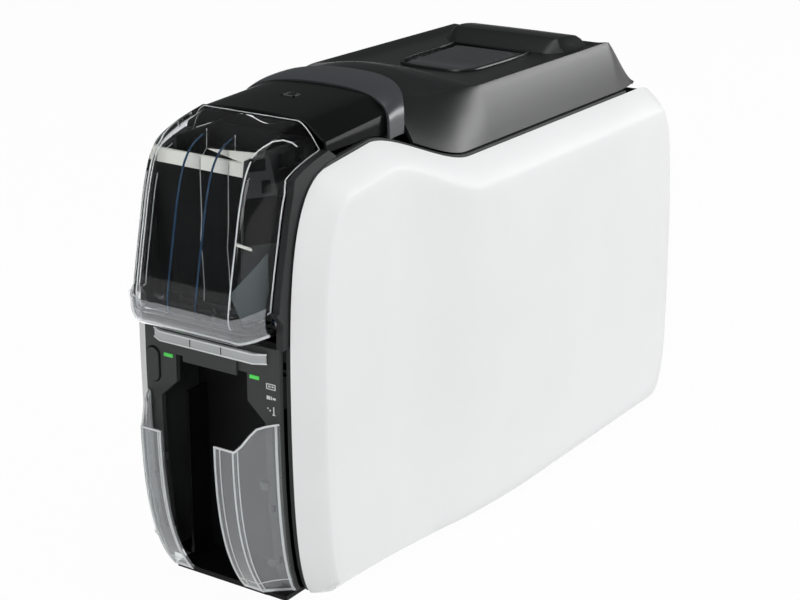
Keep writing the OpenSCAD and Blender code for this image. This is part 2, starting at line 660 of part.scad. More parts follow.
// Rollers: a steel shaft with its pulley, and a rubber sleeve on it
rubber_half = card_w / 2 + 1;
pulley_r = 9;
pulley_in = plate_out + 1;
pulley_out = pulley_in + 5;
shaft_end = plate_out + 1.5;
idle_end = plate_out + 0.7;
module drive_shaft(at) {
    color("silver") {
        rod_x(at, shaft_r, -shaft_end, pulley_out + 1);
        rod_x(at, pulley_r, pulley_in, pulley_out);
    }
}
module rubber_sleeve(at, r, tint) {
    color(tint) tube_x(at, r, shaft_r, -rubber_half, rubber_half);
}
module front_feed_shaft() { drive_shaft(front_feed_at); }
module platen_shaft() { drive_shaft(platen_at); }
module rear_feed_shaft() { drive_shaft(rear_feed_at); }
module front_feed_roller() { rubber_sleeve(front_feed_at, roller_r, [0.18, 0.18, 0.19]); }
module platen_roller() { rubber_sleeve(platen_at, roller_r, [0.12, 0.12, 0.12]); }
module rear_feed_roller() { rubber_sleeve(rear_feed_at, roller_r, [0.18, 0.18, 0.19]); }
module idle_roller(at, r, half, tint) {
    color(tint) {
        rod_x(at, shaft_r, -idle_end, idle_end);
        rod_x(at, r, -half, half);
    }
}
module front_pinch_roller() { idle_roller(front_pinch_at, pinch_r, rubber_half, [0.55, 0.56, 0.58]); }
module rear_pinch_roller() { idle_roller(rear_pinch_at, pinch_r, rubber_half, [0.55, 0.56, 0.58]); }
module cleaning_roller() { idle_roller(clean_at, roller_r, rubber_half, [0.25, 0.45, 0.75]); }
module pick_roller() { idle_roller(pick_at, pick_r, pick_half, [0.2, 0.2, 0.21]); }

// Card transport drive: motor, pulley and one belt round the four pulleys
motor_half = 17.5;
drive_r = 6;
belt_t = 1.2;
module transport_motor() {
    color([0.3, 0.3, 0.32]) {
        block([plate_in - 26, motor_at[0] - motor_half, motor_at[1] - motor_half],
            [plate_in, motor_at[0] + motor_half, motor_at[1] + motor_half]);
    }
}
module motor_pulley() {
    color([0.8, 0.78, 0.6]) {
        rod_x(motor_at, drive_r, pulley_in, pulley_out);
        rod_x(motor_at, shaft_r, plate_in + 0.1, pulley_out + 1);
    }
}
module belt_loop(grow) {
    hull() {
        for (p = [front_feed_at, rear_feed_at]) translate(p) circle(r = pulley_r + grow, $fn = 32);
        translate(motor_at) circle(r = drive_r + grow, $fn = 32);
    }
}
module timing_belt() {
    color([0.1, 0.1, 0.1]) translate([pulley_in + 0.3, 0, 0]) rotate([90, 0, 90])
        linear_extrude(pulley_out - pulley_in - 0.6) difference() {
            belt_loop(fit_gap + belt_t);
            belt_loop(fit_gap);
        }
}

// Ribbon drive: a spur gear on the take-up spool and a pinion on its motor
function tooth(r, teeth, k) =
    let (a = 360 * k / teeth, w = 90 / teeth, tip = r + 0.85 * gear_m, root = r - 1.2 * gear_m)
    [for (p = [[root, -1.25], [r, -0.86], [tip, -0.42], [tip, 0.42], [r, 0.86], [root, 1.25]])
        p[0] * [cos(a + p[1] * w), sin(a + p[1] * w)]];
module spur(at, teeth, turn, x1, x2) {
    translate([x1, at[0], at[1]]) rotate([90, 0, 90]) rotate(turn) linear_extrude(x2 - x1)
        polygon([for (k = [0 : teeth - 1]) each tooth(gear_m * teeth / 2, teeth, k)]);
}
gear_in = plate_out + 1;
gear_out = plate_out + 5;
mesh_angle = atan2(-0.341, -0.94);
module ribbon_motor() {
    color([0.6, 0.6, 0.62]) rod_x(pinion_at, 9, -plate_in, -plate_in + 24);
}
module ribbon_pinion() {
    color("gold") {
        spur(pinion_at, pinion_teeth, mesh_angle + 180 + 180 / pinion_teeth, -gear_out, -gear_in);
        rod_x(pinion_at, shaft_r, -gear_out - 1, -plate_in - 0.1);
    }
}
// Ribbon cartridge: two arms and two bars that carry the spools
arm_in = plate_in - 2.5;
arm_out = plate_in - 0.5;
module ribbon_cartridge() {
    color([0.25, 0.3, 0.36]) {
        for (s = [-1, 1]) difference() {
            union() {
                for (p = [takeup_at, supply_at])
                    rod_x(p, 8, s > 0 ? arm_in : -arm_out, s > 0 ? arm_out : -arm_in);
                block([s > 0 ? arm_in : -arm_out, takeup_at[0], takeup_at[1] + 1],
                    [s > 0 ? arm_out : -arm_in, supply_at[0], takeup_at[1] + 7.5]);
            }
            for (p = [takeup_at, supply_at]) rod_x(p, journal_r + run_gap, -body_w, body_w);
        }
        block([-arm_in, supply_at[0] - 2, supply_at[1] + supply_r + 1],
            [arm_in, supply_at[0] + 2, supply_at[1] + supply_r + 3]);
        for (s = [-1, 1]) block([s > 0 ? arm_in : -arm_out, supply_at[0] - 2, supply_at[1] + 6],
            [s > 0 ? arm_out : -arm_in, supply_at[0] + 2, supply_at[1] + supply_r + 3]);
    }
}
module supply_spool() {
    color([0.1, 0.1, 0.13]) {
        rod_x(supply_at, supply_r, -rubber_half, rubber_half);
        rod_x(supply_at, journal_r, -plate_out - 0.5, plate_out + 0.5);
    }
}
module takeup_spool() {
    color([0.2, 0.2, 0.23]) {
        rod_x(takeup_at, takeup_r, -rubber_half, rubber_half);
        rod_x(takeup_at, journal_r, -gear_out, plate_out + 0.5);
        spur(takeup_at, gear_teeth, mesh_angle, -gear_out, -gear_in);
    }
}
// Ribbon film from the supply roll under the print head to the take-up roll
film_z = path_z + nip + 0.35;
film_t = 0.2;
head_ahead = 13;
head_behind = 17;
head_front = platen_at[0] - head_ahead;
head_rear = platen_at[0] + head_behind;
module ribbon_film() {
    film = [[takeup_at[0] + 1.5, takeup_at[1] - takeup_r - 0.5], [head_front - 3, film_z + 3],
        [head_front + 2, film_z], [head_rear - 2, film_z], [head_rear + 3, film_z + 3],
        [supply_at[0] - 1, supply_at[1] - supply_r - 0.5]];
    color([0.1, 0.12, 0.3]) run_x(concat(film, [for (p = reversed(film)) [p[0], p[1] + film_t]]),
        -rubber_half + 1, rubber_half - 1);
}

// Print head: a block with a heat sink that floats on two guide posts under the lid frame
head_low = film_z + film_t + 0.4;
head_h = 36;
head_high = head_low + head_h;
post_x = 18;
post_y = platen_at[0] + 2;
post_r = 3;
spring_room = 14;
post_hole_deep = 13;
pedestal_z = head_high + spring_room;
module print_head() {
    color([0.78, 0.79, 0.8]) difference() {
        union() {
            block([-rubber_half, head_front + 4, head_low], [rubber_half, head_rear - 4, head_low + 5]);
            block([-rubber_half, head_front, head_low + 5], [rubber_half, head_rear, head_high]);
        }
        for (s = [-1, 1]) translate([s * post_x, post_y, head_high - post_hole_deep])
            cylinder(r = post_r + run_gap, h = post_hole_deep + 1);
        for (x = [-10 : 5 : 10])
            block([x - 1, head_front - 1, head_low + 14], [x + 1, head_rear + 1, head_high + 1]);
    }
}
module head_springs() {
    color("silver") for (s = [-1, 1]) translate([s * post_x, post_y, head_high + 0.1]) difference() {
        cylinder(r = 4.8, h = pedestal_z - head_high - 0.2);
        translate([0, 0, -1]) cylinder(r = 3.6, h = pedestal_z - head_high + 2);
    }
}

// Main board on four posts beside the right frame plate
board_x = pulley_out + 4;
module main_board() {
    color([0.05, 0.35, 0.2]) {
        block([board_x, platen_at[0] - 90, 14], [board_x + 1.6, plate_y - 22, 56]);
        for (y = [platen_at[0] - 84, plate_y - 30]) for (z = [19, 51])
            rod_x([y, z], 2.5, plate_out, board_x);
        block([board_x + 1.6, platen_at[0] - 40, 24], [board_x + 4.6, platen_at[0] - 16, 48]);
    }
}

// Top deck: the black floor around the ribbon bay, with the hinge trough
deck_z = rear_z - 7;
deck_t = 3;
bay_half = plate_out + 7;
bay_front = pinion_at[0] - 12;
bay_rear = supply_at[0] + supply_r + 4;
hook_x = bay_half - 5;
hook_y = platen_at[0] + 22;
ear_gap = 0.5;
deck_ear_in = 40;
deck_ear_out = 45;
lid_ear_out = deck_ear_out + ear_gap + 5;
hinge_r = 3;
module top_deck() {
    color([0.06, 0.06, 0.07]) difference() {
        union() {
            intersection() {
                translate([0, 0, deck_z]) linear_extrude(deck_t) plan_area(body_in);
                block([-body_w, cover_rear + 2, 0], [body_w, hinge_at[0] + rim_r, body_h]);
            }
            intersection() {
                rod_x(hinge_at, rim_r, -body_w, body_w);
                linear_extrude(body_h) plan_area(body_in);
                block([-body_w, hinge_at[0] - 40, 0], [body_w, hinge_at[0] + 40, deck_z + deck_t]);
            }
        }
        difference() {
            rod_x(hinge_at, pocket_r, -body_w, body_w);
            for (s = [-1, 1]) block([s > 0 ? deck_ear_in : -deck_ear_out, hinge_at[0] - 5, hinge_at[1] - 20],
                [s > 0 ? deck_ear_out : -deck_ear_in, hinge_at[0] + 5, hinge_at[1] + 4.5]);
        }
        rod_x(hinge_at, hinge_r, -body_w, body_w);
        block([-bay_half, bay_front, deck_z - 1], [bay_half, bay_rear, deck_z + deck_t + 1]);
    }
}
module lid_hinge_pins() {
    color("silver") for (s = [-1, 1])
        rod_x(hinge_at, hinge_r, s > 0 ? deck_ear_in - 1 : -lid_ear_out - 1,
            s > 0 ? lid_ear_out + 1 : -deck_ear_in + 1);
}

// Lid shell: rows along the depth, each a section from the right skirt to the left one
lid_rear = hinge_at[0] + 9;
lid_slope_y = rear_y - 62;
crease_front = body_h - 9.6;
crease_knee = body_h - 11;
crease_rear = body_h - 12;
knee_y = -8;
front_crown = 6;
front_crease = 38;
skirt_inset = 1.6;
function slope_share(y) = max(0, (y - lid_slope_y) / (lid_rear - lid_slope_y));
function lid_drop(y) = 0.25 * smooth(slope_share(y)) + 0.75 * slope_share(y);
function crease_z(y) = y < knee_y ?
    mix(crease_front, crease_knee, pow((y - lid_front) / (knee_y - lid_front), 0.85)) :
    mix(crease_knee, crease_rear, (y - knee_y) / (lid_slope_y - knee_y));
function lid_ease(y) = smooth((y - lid_front) / (knee_y - lid_front));
function crease_x(y) = mix(front_crease, crease_half, lid_ease(y));
function lid_crown(y) = mix(front_crown, 0, lid_ease(y));
function skirt_z(y) = edge_z(y) + skirt_lift;
function skirt_x(y) = inner_x(y) - skirt_inset - 5 * pow(slope_share(y), 2);
// Section points: share from crease to skirt, share of the height, and the wall's direction
lid_section = [[1, 0, 1, 0], [0.8, 0.27, 0.9, 0.4], [0.55, 0.55, 0.9, 0.4], [0.28, 0.8, 0.85, 0.5],
    [0.1, 0.94, 0.7, 0.7], [0, 1, 0.4, 0.9]];
lid_top_shares = [0.93, 0.75, 0.4];
function lid_half_row(y, w) =
    let (sx = skirt_x(y), sz = skirt_z(y), cz = mix(crease_z(y), sz + 1, lid_drop(y)),
        cx = min(crease_x(y), sx - 3))
    concat(
        [for (p = lid_section) [mix(cx, sx, p[0]) - w * p[2], mix(sz, cz, p[1]) - w * p[3]]],
        [for (f = lid_top_shares) [cx * f, cz + lid_crown(y) * (1 - f * f) - w]]);
function lid_row(y, w) =
    let (half = lid_half_row(y, w), yy = min(y, lid_rear - w))
    concat([for (p = half) [p[0], yy, p[1]]], [for (p = reversed(half)) [-p[0], yy, p[1]]]);
lid_ys = concat(
    [for (i = [0 : 10]) mix(lid_front, knee_y + 20, i / 10)],
    [mix(knee_y + 20, lid_slope_y, 0.5)],
    [for (i = [0 : 6]) mix(lid_slope_y, lid_rear, i / 6)]);
latch_y = 25;
latch_gap = 0.6;
latch_nose = 12;
module latch_plan(grow) {
    half = latch_half + grow;
    back = latch_y + latch_len + grow;
    polygon([[-half, back], [-half, latch_y + latch_nose], [-half + 5, latch_y + 3 - grow],
        [-half + 12, latch_y - grow], [half - 12, latch_y - grow], [half - 5, latch_y + 3 - grow],
        [half, latch_y + latch_nose], [half, back]]);
}
module lid_shell() {
    color([0.27, 0.28, 0.28]) difference() {
        sheet([for (y = lid_ys) lid_row(y, 0)], [for (y = lid_ys) lid_row(y, wall)]);
        translate([0, 0, hump_z - 40]) linear_extrude(100) latch_plan(latch_gap);
    }
}
// Collar: the satin arch at the lid's front edge
collar_t = 1.9;
collar_step = 3.4;
collar_half = cover_half + collar_step;
collar_y = nose_y + 96;
collar_back = 28;
collar_rise = 1.6;
collar_sweep_front = 13;
collar_sweep_back = 38;
collar_section = [[collar_half, hump_z - 1.5], [collar_half - 0.4, hump_z + 7],
    [collar_half - 2, body_h - 12], [43, body_h - 7.6], [33, body_h - 4.2], [18, body_h - 2.2],
    [8, body_h - collar_rise]];
function collar_edge(x, front, side) = front - side * pow(abs(x) / 60, 3);
function collar_points(k, w) =
    let (half = [for (p = collar_section) [p[0] - (p[0] > collar_half - 4 ? w : 0),
        k == 0 ? collar_edge(p[0], collar_y, collar_sweep_front)
            : collar_edge(p[0], collar_y + collar_back, collar_sweep_back),
        p[1] + (p[0] > collar_half - 4 ? 0 : k * collar_rise) - (p[0] > collar_half - 1 ? 0 : w)]])
    concat(half, [for (p = reversed(half)) [-p[0], p[1], p[2]]]);
module lid_collar() {
    color([0.35, 0.36, 0.38]) sheet([collar_points(0, 0), collar_points(1, 0)],
        [collar_points(0, collar_t), collar_points(1, collar_t)]);
}
// Rear cap: the raised pad behind the release button
cap_half = 38;
cap_front = lid_slope_y - 41;
cap_rise = 5;
module lid_rear_cap() {
    z1 = crease_z(cap_front);
    z2 = crease_z(lid_slope_y);
    color([0.16, 0.17, 0.18]) run_x([[cap_front, z1 + 0.05], [lid_slope_y - 1, z2 + 0.05],
        [lid_slope_y - 1, z2 + 1.5], [lid_slope_y - 6, z2 + cap_rise], [cap_front + 11, z1 + cap_rise],
        [cap_front, z1 + 0.6]], -cap_half, cap_half);
}
latch_ribs = 6;
module latch_button() {
    tilt = atan((crease_knee - crease_rear) / (lid_slope_y - knee_y));
    color([0.2, 0.21, 0.22]) translate([0, latch_y, crease_z(latch_y)]) rotate([-tilt, 0, 0])
        translate([0, -latch_y, 0]) {
            translate([0, 0, -5]) linear_extrude(4.5) latch_plan(0);
            for (i = [0 : latch_ribs - 1]) block([-latch_half + 6, latch_y + 18 + 8.5 * i, -0.6],
                [latch_half - 4, latch_y + 22 + 8.5 * i, 0.6]);
        }
    color([0.2, 0.21, 0.22])
        block([-5, lever_y - 2, lever_z + fit_gap], [5, lever_y + 2, crease_z(lever_y) - 3]);
}
// Lid frame: inner tray of the lid with hinge ears, latch bearings and the head's pedestal
lid_floor = rear_z + skirt_lift + 1;
lid_frame_t = 3;
lid_frame_half = rear_gap - 6.5;
tray_front = -12;
tray_back = hinge_at[0] - 16;
bar_at = [hook_y, lid_floor + lid_frame_t + 7];
latch_r = 3.5;
bearing_in = hook_x + 4;
bearing_out = bearing_in + 4;
lever_arm = 37.4;
lever_y = hook_y + lever_arm;
lever_z = bar_at[1] + 7;
module lid_frame() {
    color([0.1, 0.1, 0.11]) difference() {
        union() {
            block([-lid_frame_half, tray_front, lid_floor],
                [lid_frame_half, tray_back, lid_floor + lid_frame_t]);
            block([-lid_ear_out - 2, 0, lid_floor],
                [lid_ear_out + 2, hinge_at[0] - 4, lid_floor + lid_frame_t]);
            for (s = [-1, 1]) translate([s > 0 ? deck_ear_out + ear_gap : -lid_ear_out, 0, 0]) {
                rod_x(hinge_at, 6.5, 0, 5);
                block([0, hinge_at[0] - 6.5, hinge_at[1]], [5, hinge_at[0] + 4, lid_floor + 1]);
            }
            for (s = [-1, 1]) block([s > 0 ? bearing_in : -bearing_out, bar_at[0] - 6, lid_floor],
                [s > 0 ? bearing_out : -bearing_in, bar_at[0] + 6, bar_at[1] + 6]);
            block([-rubber_half + 1, head_front + 2, pedestal_z],
                [rubber_half - 1, head_rear - 2, lid_floor + 1]);
        }
        block([-rubber_half + 4, head_front + 5, pedestal_z + 3],
            [rubber_half - 4, head_rear - 5, lid_floor + lid_frame_t + 1]);
        rod_x(hinge_at, hinge_r + run_gap, -body_w, body_w);
        rod_x(bar_at, latch_r + run_gap, -body_w, body_w);
        for (s = [-1, 1]) block([s * hook_x - 3.4, hook_y - 10, lid_floor - 1],
            [s * hook_x + 3.4, hook_y + 8, lid_floor + 9]);
    }
    color([0.1, 0.1, 0.11]) for (s = [-1, 1]) translate([s * post_x, post_y, head_high - 9])
        cylinder(r = post_r, h = pedestal_z - head_high + 9.5);
}
module latch_bar() {
    color([0.75, 0.76, 0.78]) {
        rod_x(bar_at, latch_r, -bearing_out - 1, bearing_out + 1);
        for (s = [-1, 1]) translate([s * hook_x, 0, 0])
            run_x([[hook_y - 3, bar_at[1]], [hook_y - 1, deck_z - 1], [hook_y + 5, deck_z - 1],
                [hook_y + 7, deck_z + 1], [hook_y + 3, deck_z + 6], [hook_y + 3, bar_at[1]]], -2, 2);
        run_x([[hook_y, bar_at[1] - 2], [lever_y + 2, lever_z - 3], [lever_y + 2, lever_z],
            [hook_y, bar_at[1] + 3]], -6, 6);
    }
}
screw_front = nose_y + 50;
screw_rear = rear_y - 50;
screw_low = floor_z + 24;
screw_drop = 29.5;
screw_ats = [[screw_front, screw_low], [screw_front, rear_z - screw_drop + 10], [screw_rear, screw_low],
    [screw_rear - 10, rear_z - screw_drop]];
module panel_screws() {
    color("dimgray") for (s = [-1, 1]) for (p = screw_ats) {
        x = inner_x(p[0]) - body_in;
        rod_x(p, 3, s > 0 ? x - 2.2 : -x, s > 0 ? x : -x + 2.2);
    }
}

base_tray();
rubber_feet();
left_side_frame();
right_side_frame();
left_side_panel();
right_side_panel();
front_fascia();
output_bin();
left_wing();
right_wing();
wing_clips();
light_bar();
status_lights();
power_button();
slot_plate();
hopper_housing();
hopper_door();
door_hinge_pins();
card_pusher();
hopper_cover();
rear_cover();
connector_plate();
power_inlet();
usb_port();
network_port();
top_deck();
left_frame_plate();
right_frame_plate();
card_guide();
front_feed_shaft();
front_feed_roller();
platen_shaft();
platen_roller();
rear_feed_shaft();
rear_feed_roller();
front_pinch_roller();
rear_pinch_roller();
cleaning_roller();
pick_roller();
transport_motor();
motor_pulley();
timing_belt();
ribbon_motor();
ribbon_pinion();
ribbon_cartridge();
supply_spool();
takeup_spool();
ribbon_film();
main_board();
lid_shell();
lid_collar();
lid_rear_cap();
lid_frame();
latch_button();
latch_bar();
lid_hinge_pins();
print_head();
head_springs();
panel_screws();
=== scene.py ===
import json
import math
import bpy
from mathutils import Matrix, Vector


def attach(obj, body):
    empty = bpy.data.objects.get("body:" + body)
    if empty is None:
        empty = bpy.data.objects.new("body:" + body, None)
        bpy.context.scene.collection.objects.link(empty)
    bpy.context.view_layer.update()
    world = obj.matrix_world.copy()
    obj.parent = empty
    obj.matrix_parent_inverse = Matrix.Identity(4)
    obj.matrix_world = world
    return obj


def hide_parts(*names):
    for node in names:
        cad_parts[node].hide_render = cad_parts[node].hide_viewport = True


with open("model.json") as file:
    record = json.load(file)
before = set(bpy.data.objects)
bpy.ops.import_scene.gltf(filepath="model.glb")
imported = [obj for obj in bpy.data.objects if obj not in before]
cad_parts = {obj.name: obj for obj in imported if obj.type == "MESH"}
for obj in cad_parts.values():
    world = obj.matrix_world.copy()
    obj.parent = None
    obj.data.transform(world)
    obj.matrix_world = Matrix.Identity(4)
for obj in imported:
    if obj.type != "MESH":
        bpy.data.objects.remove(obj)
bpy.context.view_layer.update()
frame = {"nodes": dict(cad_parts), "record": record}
MM = 0.001

# Main sizes, in millimetres, as in part.scad
BODY_W, BODY_H, WALL = 157, 264, 2.5
FRONT_Y, REAR_Y = -205, 205
NOSE = FRONT_Y + 27
WAIST_FROM, WAIST_TO = NOSE + 72, NOSE + 142
FLARE_FROM, FLARE_TO = NOSE + 18, NOSE + 198
FRONT_WAIST, FRONT_GAP, REAR_GAP = 15.5, 48.2, 66
HUMP_Z = BODY_H - 24.5
REAR_Z = HUMP_Z - 20
PANEL_LIFT, NOSE_Z, TAIL_Z = 2.5, 119, 60
FLOOR_Z = 6
FASCIA_BACK = -5


def smooth(t):
    t = min(1.0, max(0.0, t))
    return t * t * (3 - 2 * t)


def mix(a, b, t):
    return a + (b - a) * t


def waist(y):
    return smooth((y - WAIST_FROM) / (WAIST_TO - WAIST_FROM))


def inner_x(y):
    return mix(FRONT_GAP, REAR_GAP, waist(y))


def flare(y):
    return smooth((y - FLARE_FROM) / (FLARE_TO - FLARE_FROM))


def outer_x(y, z):
    """Half width outside: a short waist at the top edge and a long flare at the foot."""
    ease = mix(flare(y), waist(y), min(1, z / REAR_Z))
    return BODY_W / 2 - FRONT_WAIST * (1 - ease)


def edge_z(y):
    return mix(HUMP_Z, REAR_Z, waist(y))


def bezier(p, t):
    u = 1 - t
    return [u ** 3 * a + 3 * t * u * u * b + 3 * t * t * u * c + t ** 3 * d for a, b, c, d in zip(*p)]


def spline(points, per):
    """Points of a smooth curve through the given points, with per steps between two of them."""
    n = len(points)
    out = []
    for i in range(n - 1):
        p0, p1, p2, p3 = points[max(0, i - 1)], points[i], points[i + 1], points[min(n - 1, i + 2)]
        for k in range(per):
            t = k / per
            out.append([0.5 * (2 * b + (c - a) * t + (2 * a - 5 * b + 4 * c - d) * t * t
                               + (3 * b - a - 3 * c + d) * t ** 3) for a, b, c, d in zip(p0, p1, p2, p3)])
    out.append(list(points[-1]))
    return out


def lookup(table, t):
    """Linear value from a list of (key, value) with rising keys."""
    if t <= table[0][0]:
        return table[0][1]
    for (k1, v1), (k2, v2) in zip(table, table[1:]):
        if t <= k2:
            return mix(v1, v2, (t - k1) / (k2 - k1))
    return table[-1][1]


# Materials
def material(name, color, rough, spec=0.5, metal=0.0, trans=0.0, ior=1.5, coat=0.0, mottle=0.12,
             grain=900, bump=0.03, rough_spread=0.08, stretch=(1, 1, 1), emission=0.0, coat_ior=1.5):
    m = bpy.data.materials.new(name)
    m.use_nodes = True
    nt = m.node_tree
    bsdf = nt.nodes["Principled BSDF"]
    new, link = nt.nodes.new, nt.links.new
    coord = new("ShaderNodeTexCoord")
    mapping = new("ShaderNodeMapping")
    mapping.inputs["Scale"].default_value = stretch
    link(coord.outputs["Object"], mapping.inputs["Vector"])
    fine = new("ShaderNodeTexNoise")
    fine.inputs["Scale"].default_value = grain
    fine.inputs["Detail"].default_value = 3
    broad = new("ShaderNodeTexNoise")
    broad.inputs["Scale"].default_value = 14
    broad.inputs["Detail"].default_value = 4
    link(mapping.outputs["Vector"], fine.inputs["Vector"])
    link(mapping.outputs["Vector"], broad.inputs["Vector"])
    ramp = new("ShaderNodeValToRGB")
    low, high = 1 - mottle, 1 + mottle
    ramp.color_ramp.elements[0].position, ramp.color_ramp.elements[1].position = 0.3, 0.7
    ramp.color_ramp.elements[0].color = (*[c * low for c in color], 1)
    ramp.color_ramp.elements[1].color = (*[min(1, c * high) for c in color], 1)
    link(broad.outputs["Fac"], ramp.inputs["Fac"])
    link(ramp.outputs["Color"], bsdf.inputs["Base Color"])
    bsdf.inputs["Roughness"].default_value = rough
    if rough_spread:
        spread = new("ShaderNodeMapRange")
        spread.inputs["To Min"].default_value = max(0.01, rough - rough_spread)
        spread.inputs["To Max"].default_value = min(1, rough + rough_spread)
        link(fine.outputs["Fac"], spread.inputs["Value"])
        link(spread.outputs["Result"], bsdf.inputs["Roughness"])
    if bump:
        relief = new("ShaderNodeBump")
        relief.inputs["Strength"].default_value = bump
        relief.inputs["Distance"].default_value = 0.0002
        link(fine.outputs["Fac"], relief.inputs["Height"])
        link(relief.outputs["Normal"], bsdf.inputs["Normal"])
    bsdf.inputs["Specular IOR Level"].default_value = spec
    bsdf.inputs["Metallic"].default_value = metal
    bsdf.inputs["Transmission Weight"].default_value = trans
    bsdf.inputs["IOR"].default_value = ior
    bsdf.inputs["Coat Weight"].default_value = coat
    bsdf.inputs["Coat Roughness"].default_value = 0.03
    bsdf.inputs["Coat IOR"].default_value = coat_ior
    if emission:
        bsdf.inputs["Emission Color"].default_value = (*color, 1)
        bsdf.inputs["Emission Strength"].default_value = emission
    return m


def glass(name, color, trans, coat_ior=1.5):
    """Clear plastic: light goes straight through it and the coat makes its reflection."""
    return material(name, color, 0.02, trans=trans, ior=1.03, coat=1.0, mottle=0.01, bump=0, rough_spread=0,
                    coat_ior=coat_ior)


M = {
    "white_shell": material("white_shell", (0.82, 0.823, 0.826), 0.5, spec=0.3, mottle=0.012, grain=1500, bump=0.02),
    "black_frame": material("black_frame", (0.010, 0.011, 0.011), 0.5, spec=0.2, grain=1800, bump=0.03),
    "bin_black": material("bin_black", (0.004, 0.004, 0.0045), 0.4, spec=0.12),
    "gloss_black": material("gloss_black", (0.0065, 0.0072, 0.007), 0.2, spec=0.05, bump=0.004, rough_spread=0.03),
    "fascia_grey": material("fascia_grey", (0.038, 0.041, 0.04), 0.5, spec=0.3, grain=2200, bump=0.05),
    "clear": glass("clear", (0.76, 0.79, 0.8), trans=0.9),
    # Pale, mostly opaque plastic for thin tubes along clear edges: a painted highlight for the light that those edges
    # catch
    "clear_rim": glass("clear_rim", (0.88, 0.9, 0.9), trans=0.25),
    "smoked_clear": glass("smoked_clear", (0.93, 0.94, 0.95), trans=1.0, coat_ior=1.24),
    "rib_blue": glass("rib_blue", (0.03, 0.08, 0.15), trans=0.4, coat_ior=1.2),
    "bar_clear": glass("bar_clear", (0.72, 0.75, 0.75), trans=0.55),
    "lip_clear": glass("lip_clear", (0.88, 0.9, 0.92), trans=0.93),
    # Pale colour of the feeder's ledge, and of the strip and wedge over the feeder, where it is a painted highlight for
    # a lamp reflected on the door's top bend
    "pale_strip": material("pale_strip", (0.84, 0.83, 0.76), 0.3, mottle=0.04),
    "clip_grey": material("clip_grey", (0.07, 0.075, 0.08), 0.4),
    "green_light": material("green_light", (0.05, 0.42, 0.06), 0.3, emission=0.5, mottle=0.3, grain=400),
    "rubber_black": material("rubber_black", (0.02, 0.02, 0.02), 0.75, spec=0.3, grain=1200, bump=0.3),
    "cleaning_blue": material("cleaning_blue", (0.08, 0.22, 0.5), 0.45),
    "steel": material("steel", (0.55, 0.56, 0.58), 0.32, metal=1.0, stretch=(1, 12, 1), mottle=0.08, bump=0.08),
    "motor_grey": material("motor_grey", (0.11, 0.11, 0.12), 0.4, metal=0.6),
    "gear_cream": material("gear_cream", (0.6, 0.54, 0.4), 0.45),
    "inlet_black": material("inlet_black", (0.02, 0.02, 0.02), 0.5),
    "ribbon_dark": material("ribbon_dark", (0.01, 0.01, 0.02), 0.2, mottle=0.25, stretch=(1, 20, 20)),
    "cartridge_grey": material("cartridge_grey", (0.1, 0.13, 0.17), 0.45),
    "board_green": material("board_green", (0.015, 0.13, 0.06), 0.35, mottle=0.3, grain=300),
    "lid_grey": material("lid_grey", (0.008, 0.009, 0.009), 0.34, spec=0.4, grain=2400, bump=0.14, mottle=0.06),
    "collar_grey": material("collar_grey", (0.045, 0.048, 0.053), 0.3, spec=0.55, mottle=0.05, grain=2400, bump=0.1),
    "head_alu": material("head_alu", (0.6, 0.61, 0.62), 0.3, metal=1.0, stretch=(1, 1, 18)),
    "icon_white": material("icon_white", (0.62, 0.63, 0.62), 0.5, mottle=0.08, grain=600),
    "cheek_grey": material("cheek_grey", (0.019, 0.02, 0.021), 0.4, spec=0.25, grain=2200, bump=0.03),
    "shield_grey": material("shield_grey", (0.075, 0.092, 0.092), 0.45, mottle=0.06),
    "button_grey": material("button_grey", (0.045, 0.048, 0.05), 0.3, spec=0.6, grain=2400, bump=0.1, mottle=0.05),
    # Near-black for the dark joints round the bar segments and the button, and painted shade for the dark inside of the
    # feeder post's holes
    "seam_black": material("seam_black", (0.003, 0.003, 0.003), 0.6, spec=0.1),
}


# Mesh helpers
def make(name, verts, faces, mat, body="body", stands_for=(), sharp=35, bevel=0.0, segments=2, slot=""):
    """One piece from points in millimetres. It rides on a body and may stand for CAD nodes."""
    mesh = bpy.data.meshes.new(name)
    mesh.from_pydata([(v[0] * MM, v[1] * MM, v[2] * MM) for v in verts], [], faces)
    mesh.validate()
    mesh.update()
    mesh.polygons.foreach_set("use_smooth", [True] * len(mesh.polygons))
    mesh.set_sharp_from_angle(angle=math.radians(sharp))
    obj = bpy.data.objects.new(name, mesh)
    bpy.context.scene.collection.objects.link(obj)
    mesh.materials.append(M[mat])
    if bevel:
        b = obj.modifiers.new("edge", "BEVEL")
        b.width, b.segments, b.limit_method, b.angle_limit = bevel * MM, segments, "ANGLE", math.radians(40)
        b.harden_normals = True
    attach(obj, body)
    if stands_for:
        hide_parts(*stands_for)
    return obj


def join_meshes(parts):
    verts, faces = [], []
    for v, f in parts:
        n = len(verts)
        verts += v
        faces += [[i + n for i in q] for q in f]
    return verts, faces


def block(low, high):
    (a, b, c), (d, e, f) = low, high
    v = [(x, y, z) for x in (a, d) for y in (b, e) for z in (c, f)]
    return v, [[0, 1, 3, 2], [4, 6, 7, 5], [0, 4, 5, 1], [2, 3, 7, 6], [0, 2, 6, 4], [1, 5, 7, 3]]


def prism_x(points, x1, x2):
    """A side view shape, points of (y, z), run along X."""
    n = len(points)
    v = [(x1, p[0], p[1]) for p in points] + [(x2, p[0], p[1]) for p in points]
    area = sum(points[i - 1][0] * points[i][1] - points[i][0] * points[i - 1][1] for i in range(n))
    f = [list(range(n - 1, -1, -1)), list(range(n, 2 * n))] + [[i, (i + 1) % n, n + (i + 1) % n, n + i] for i in range(n)]
    return v, f if area > 0 else [q[::-1] for q in f]


def prism_y(points, y1, y2):
    """A front view shape, points of (x, z), run along Y."""
    v, f = prism_x(points, y1, y2)
    return [(p[1], p[0], p[2]) for p in v], [q[::-1] for q in f]


def prism_z(points, z1, z2):
    """A plan shape, points of (x, y), run along Z."""
    v, f = prism_x(points, z1, z2)
    return [(p[1], p[2], p[0]) for p in v], f


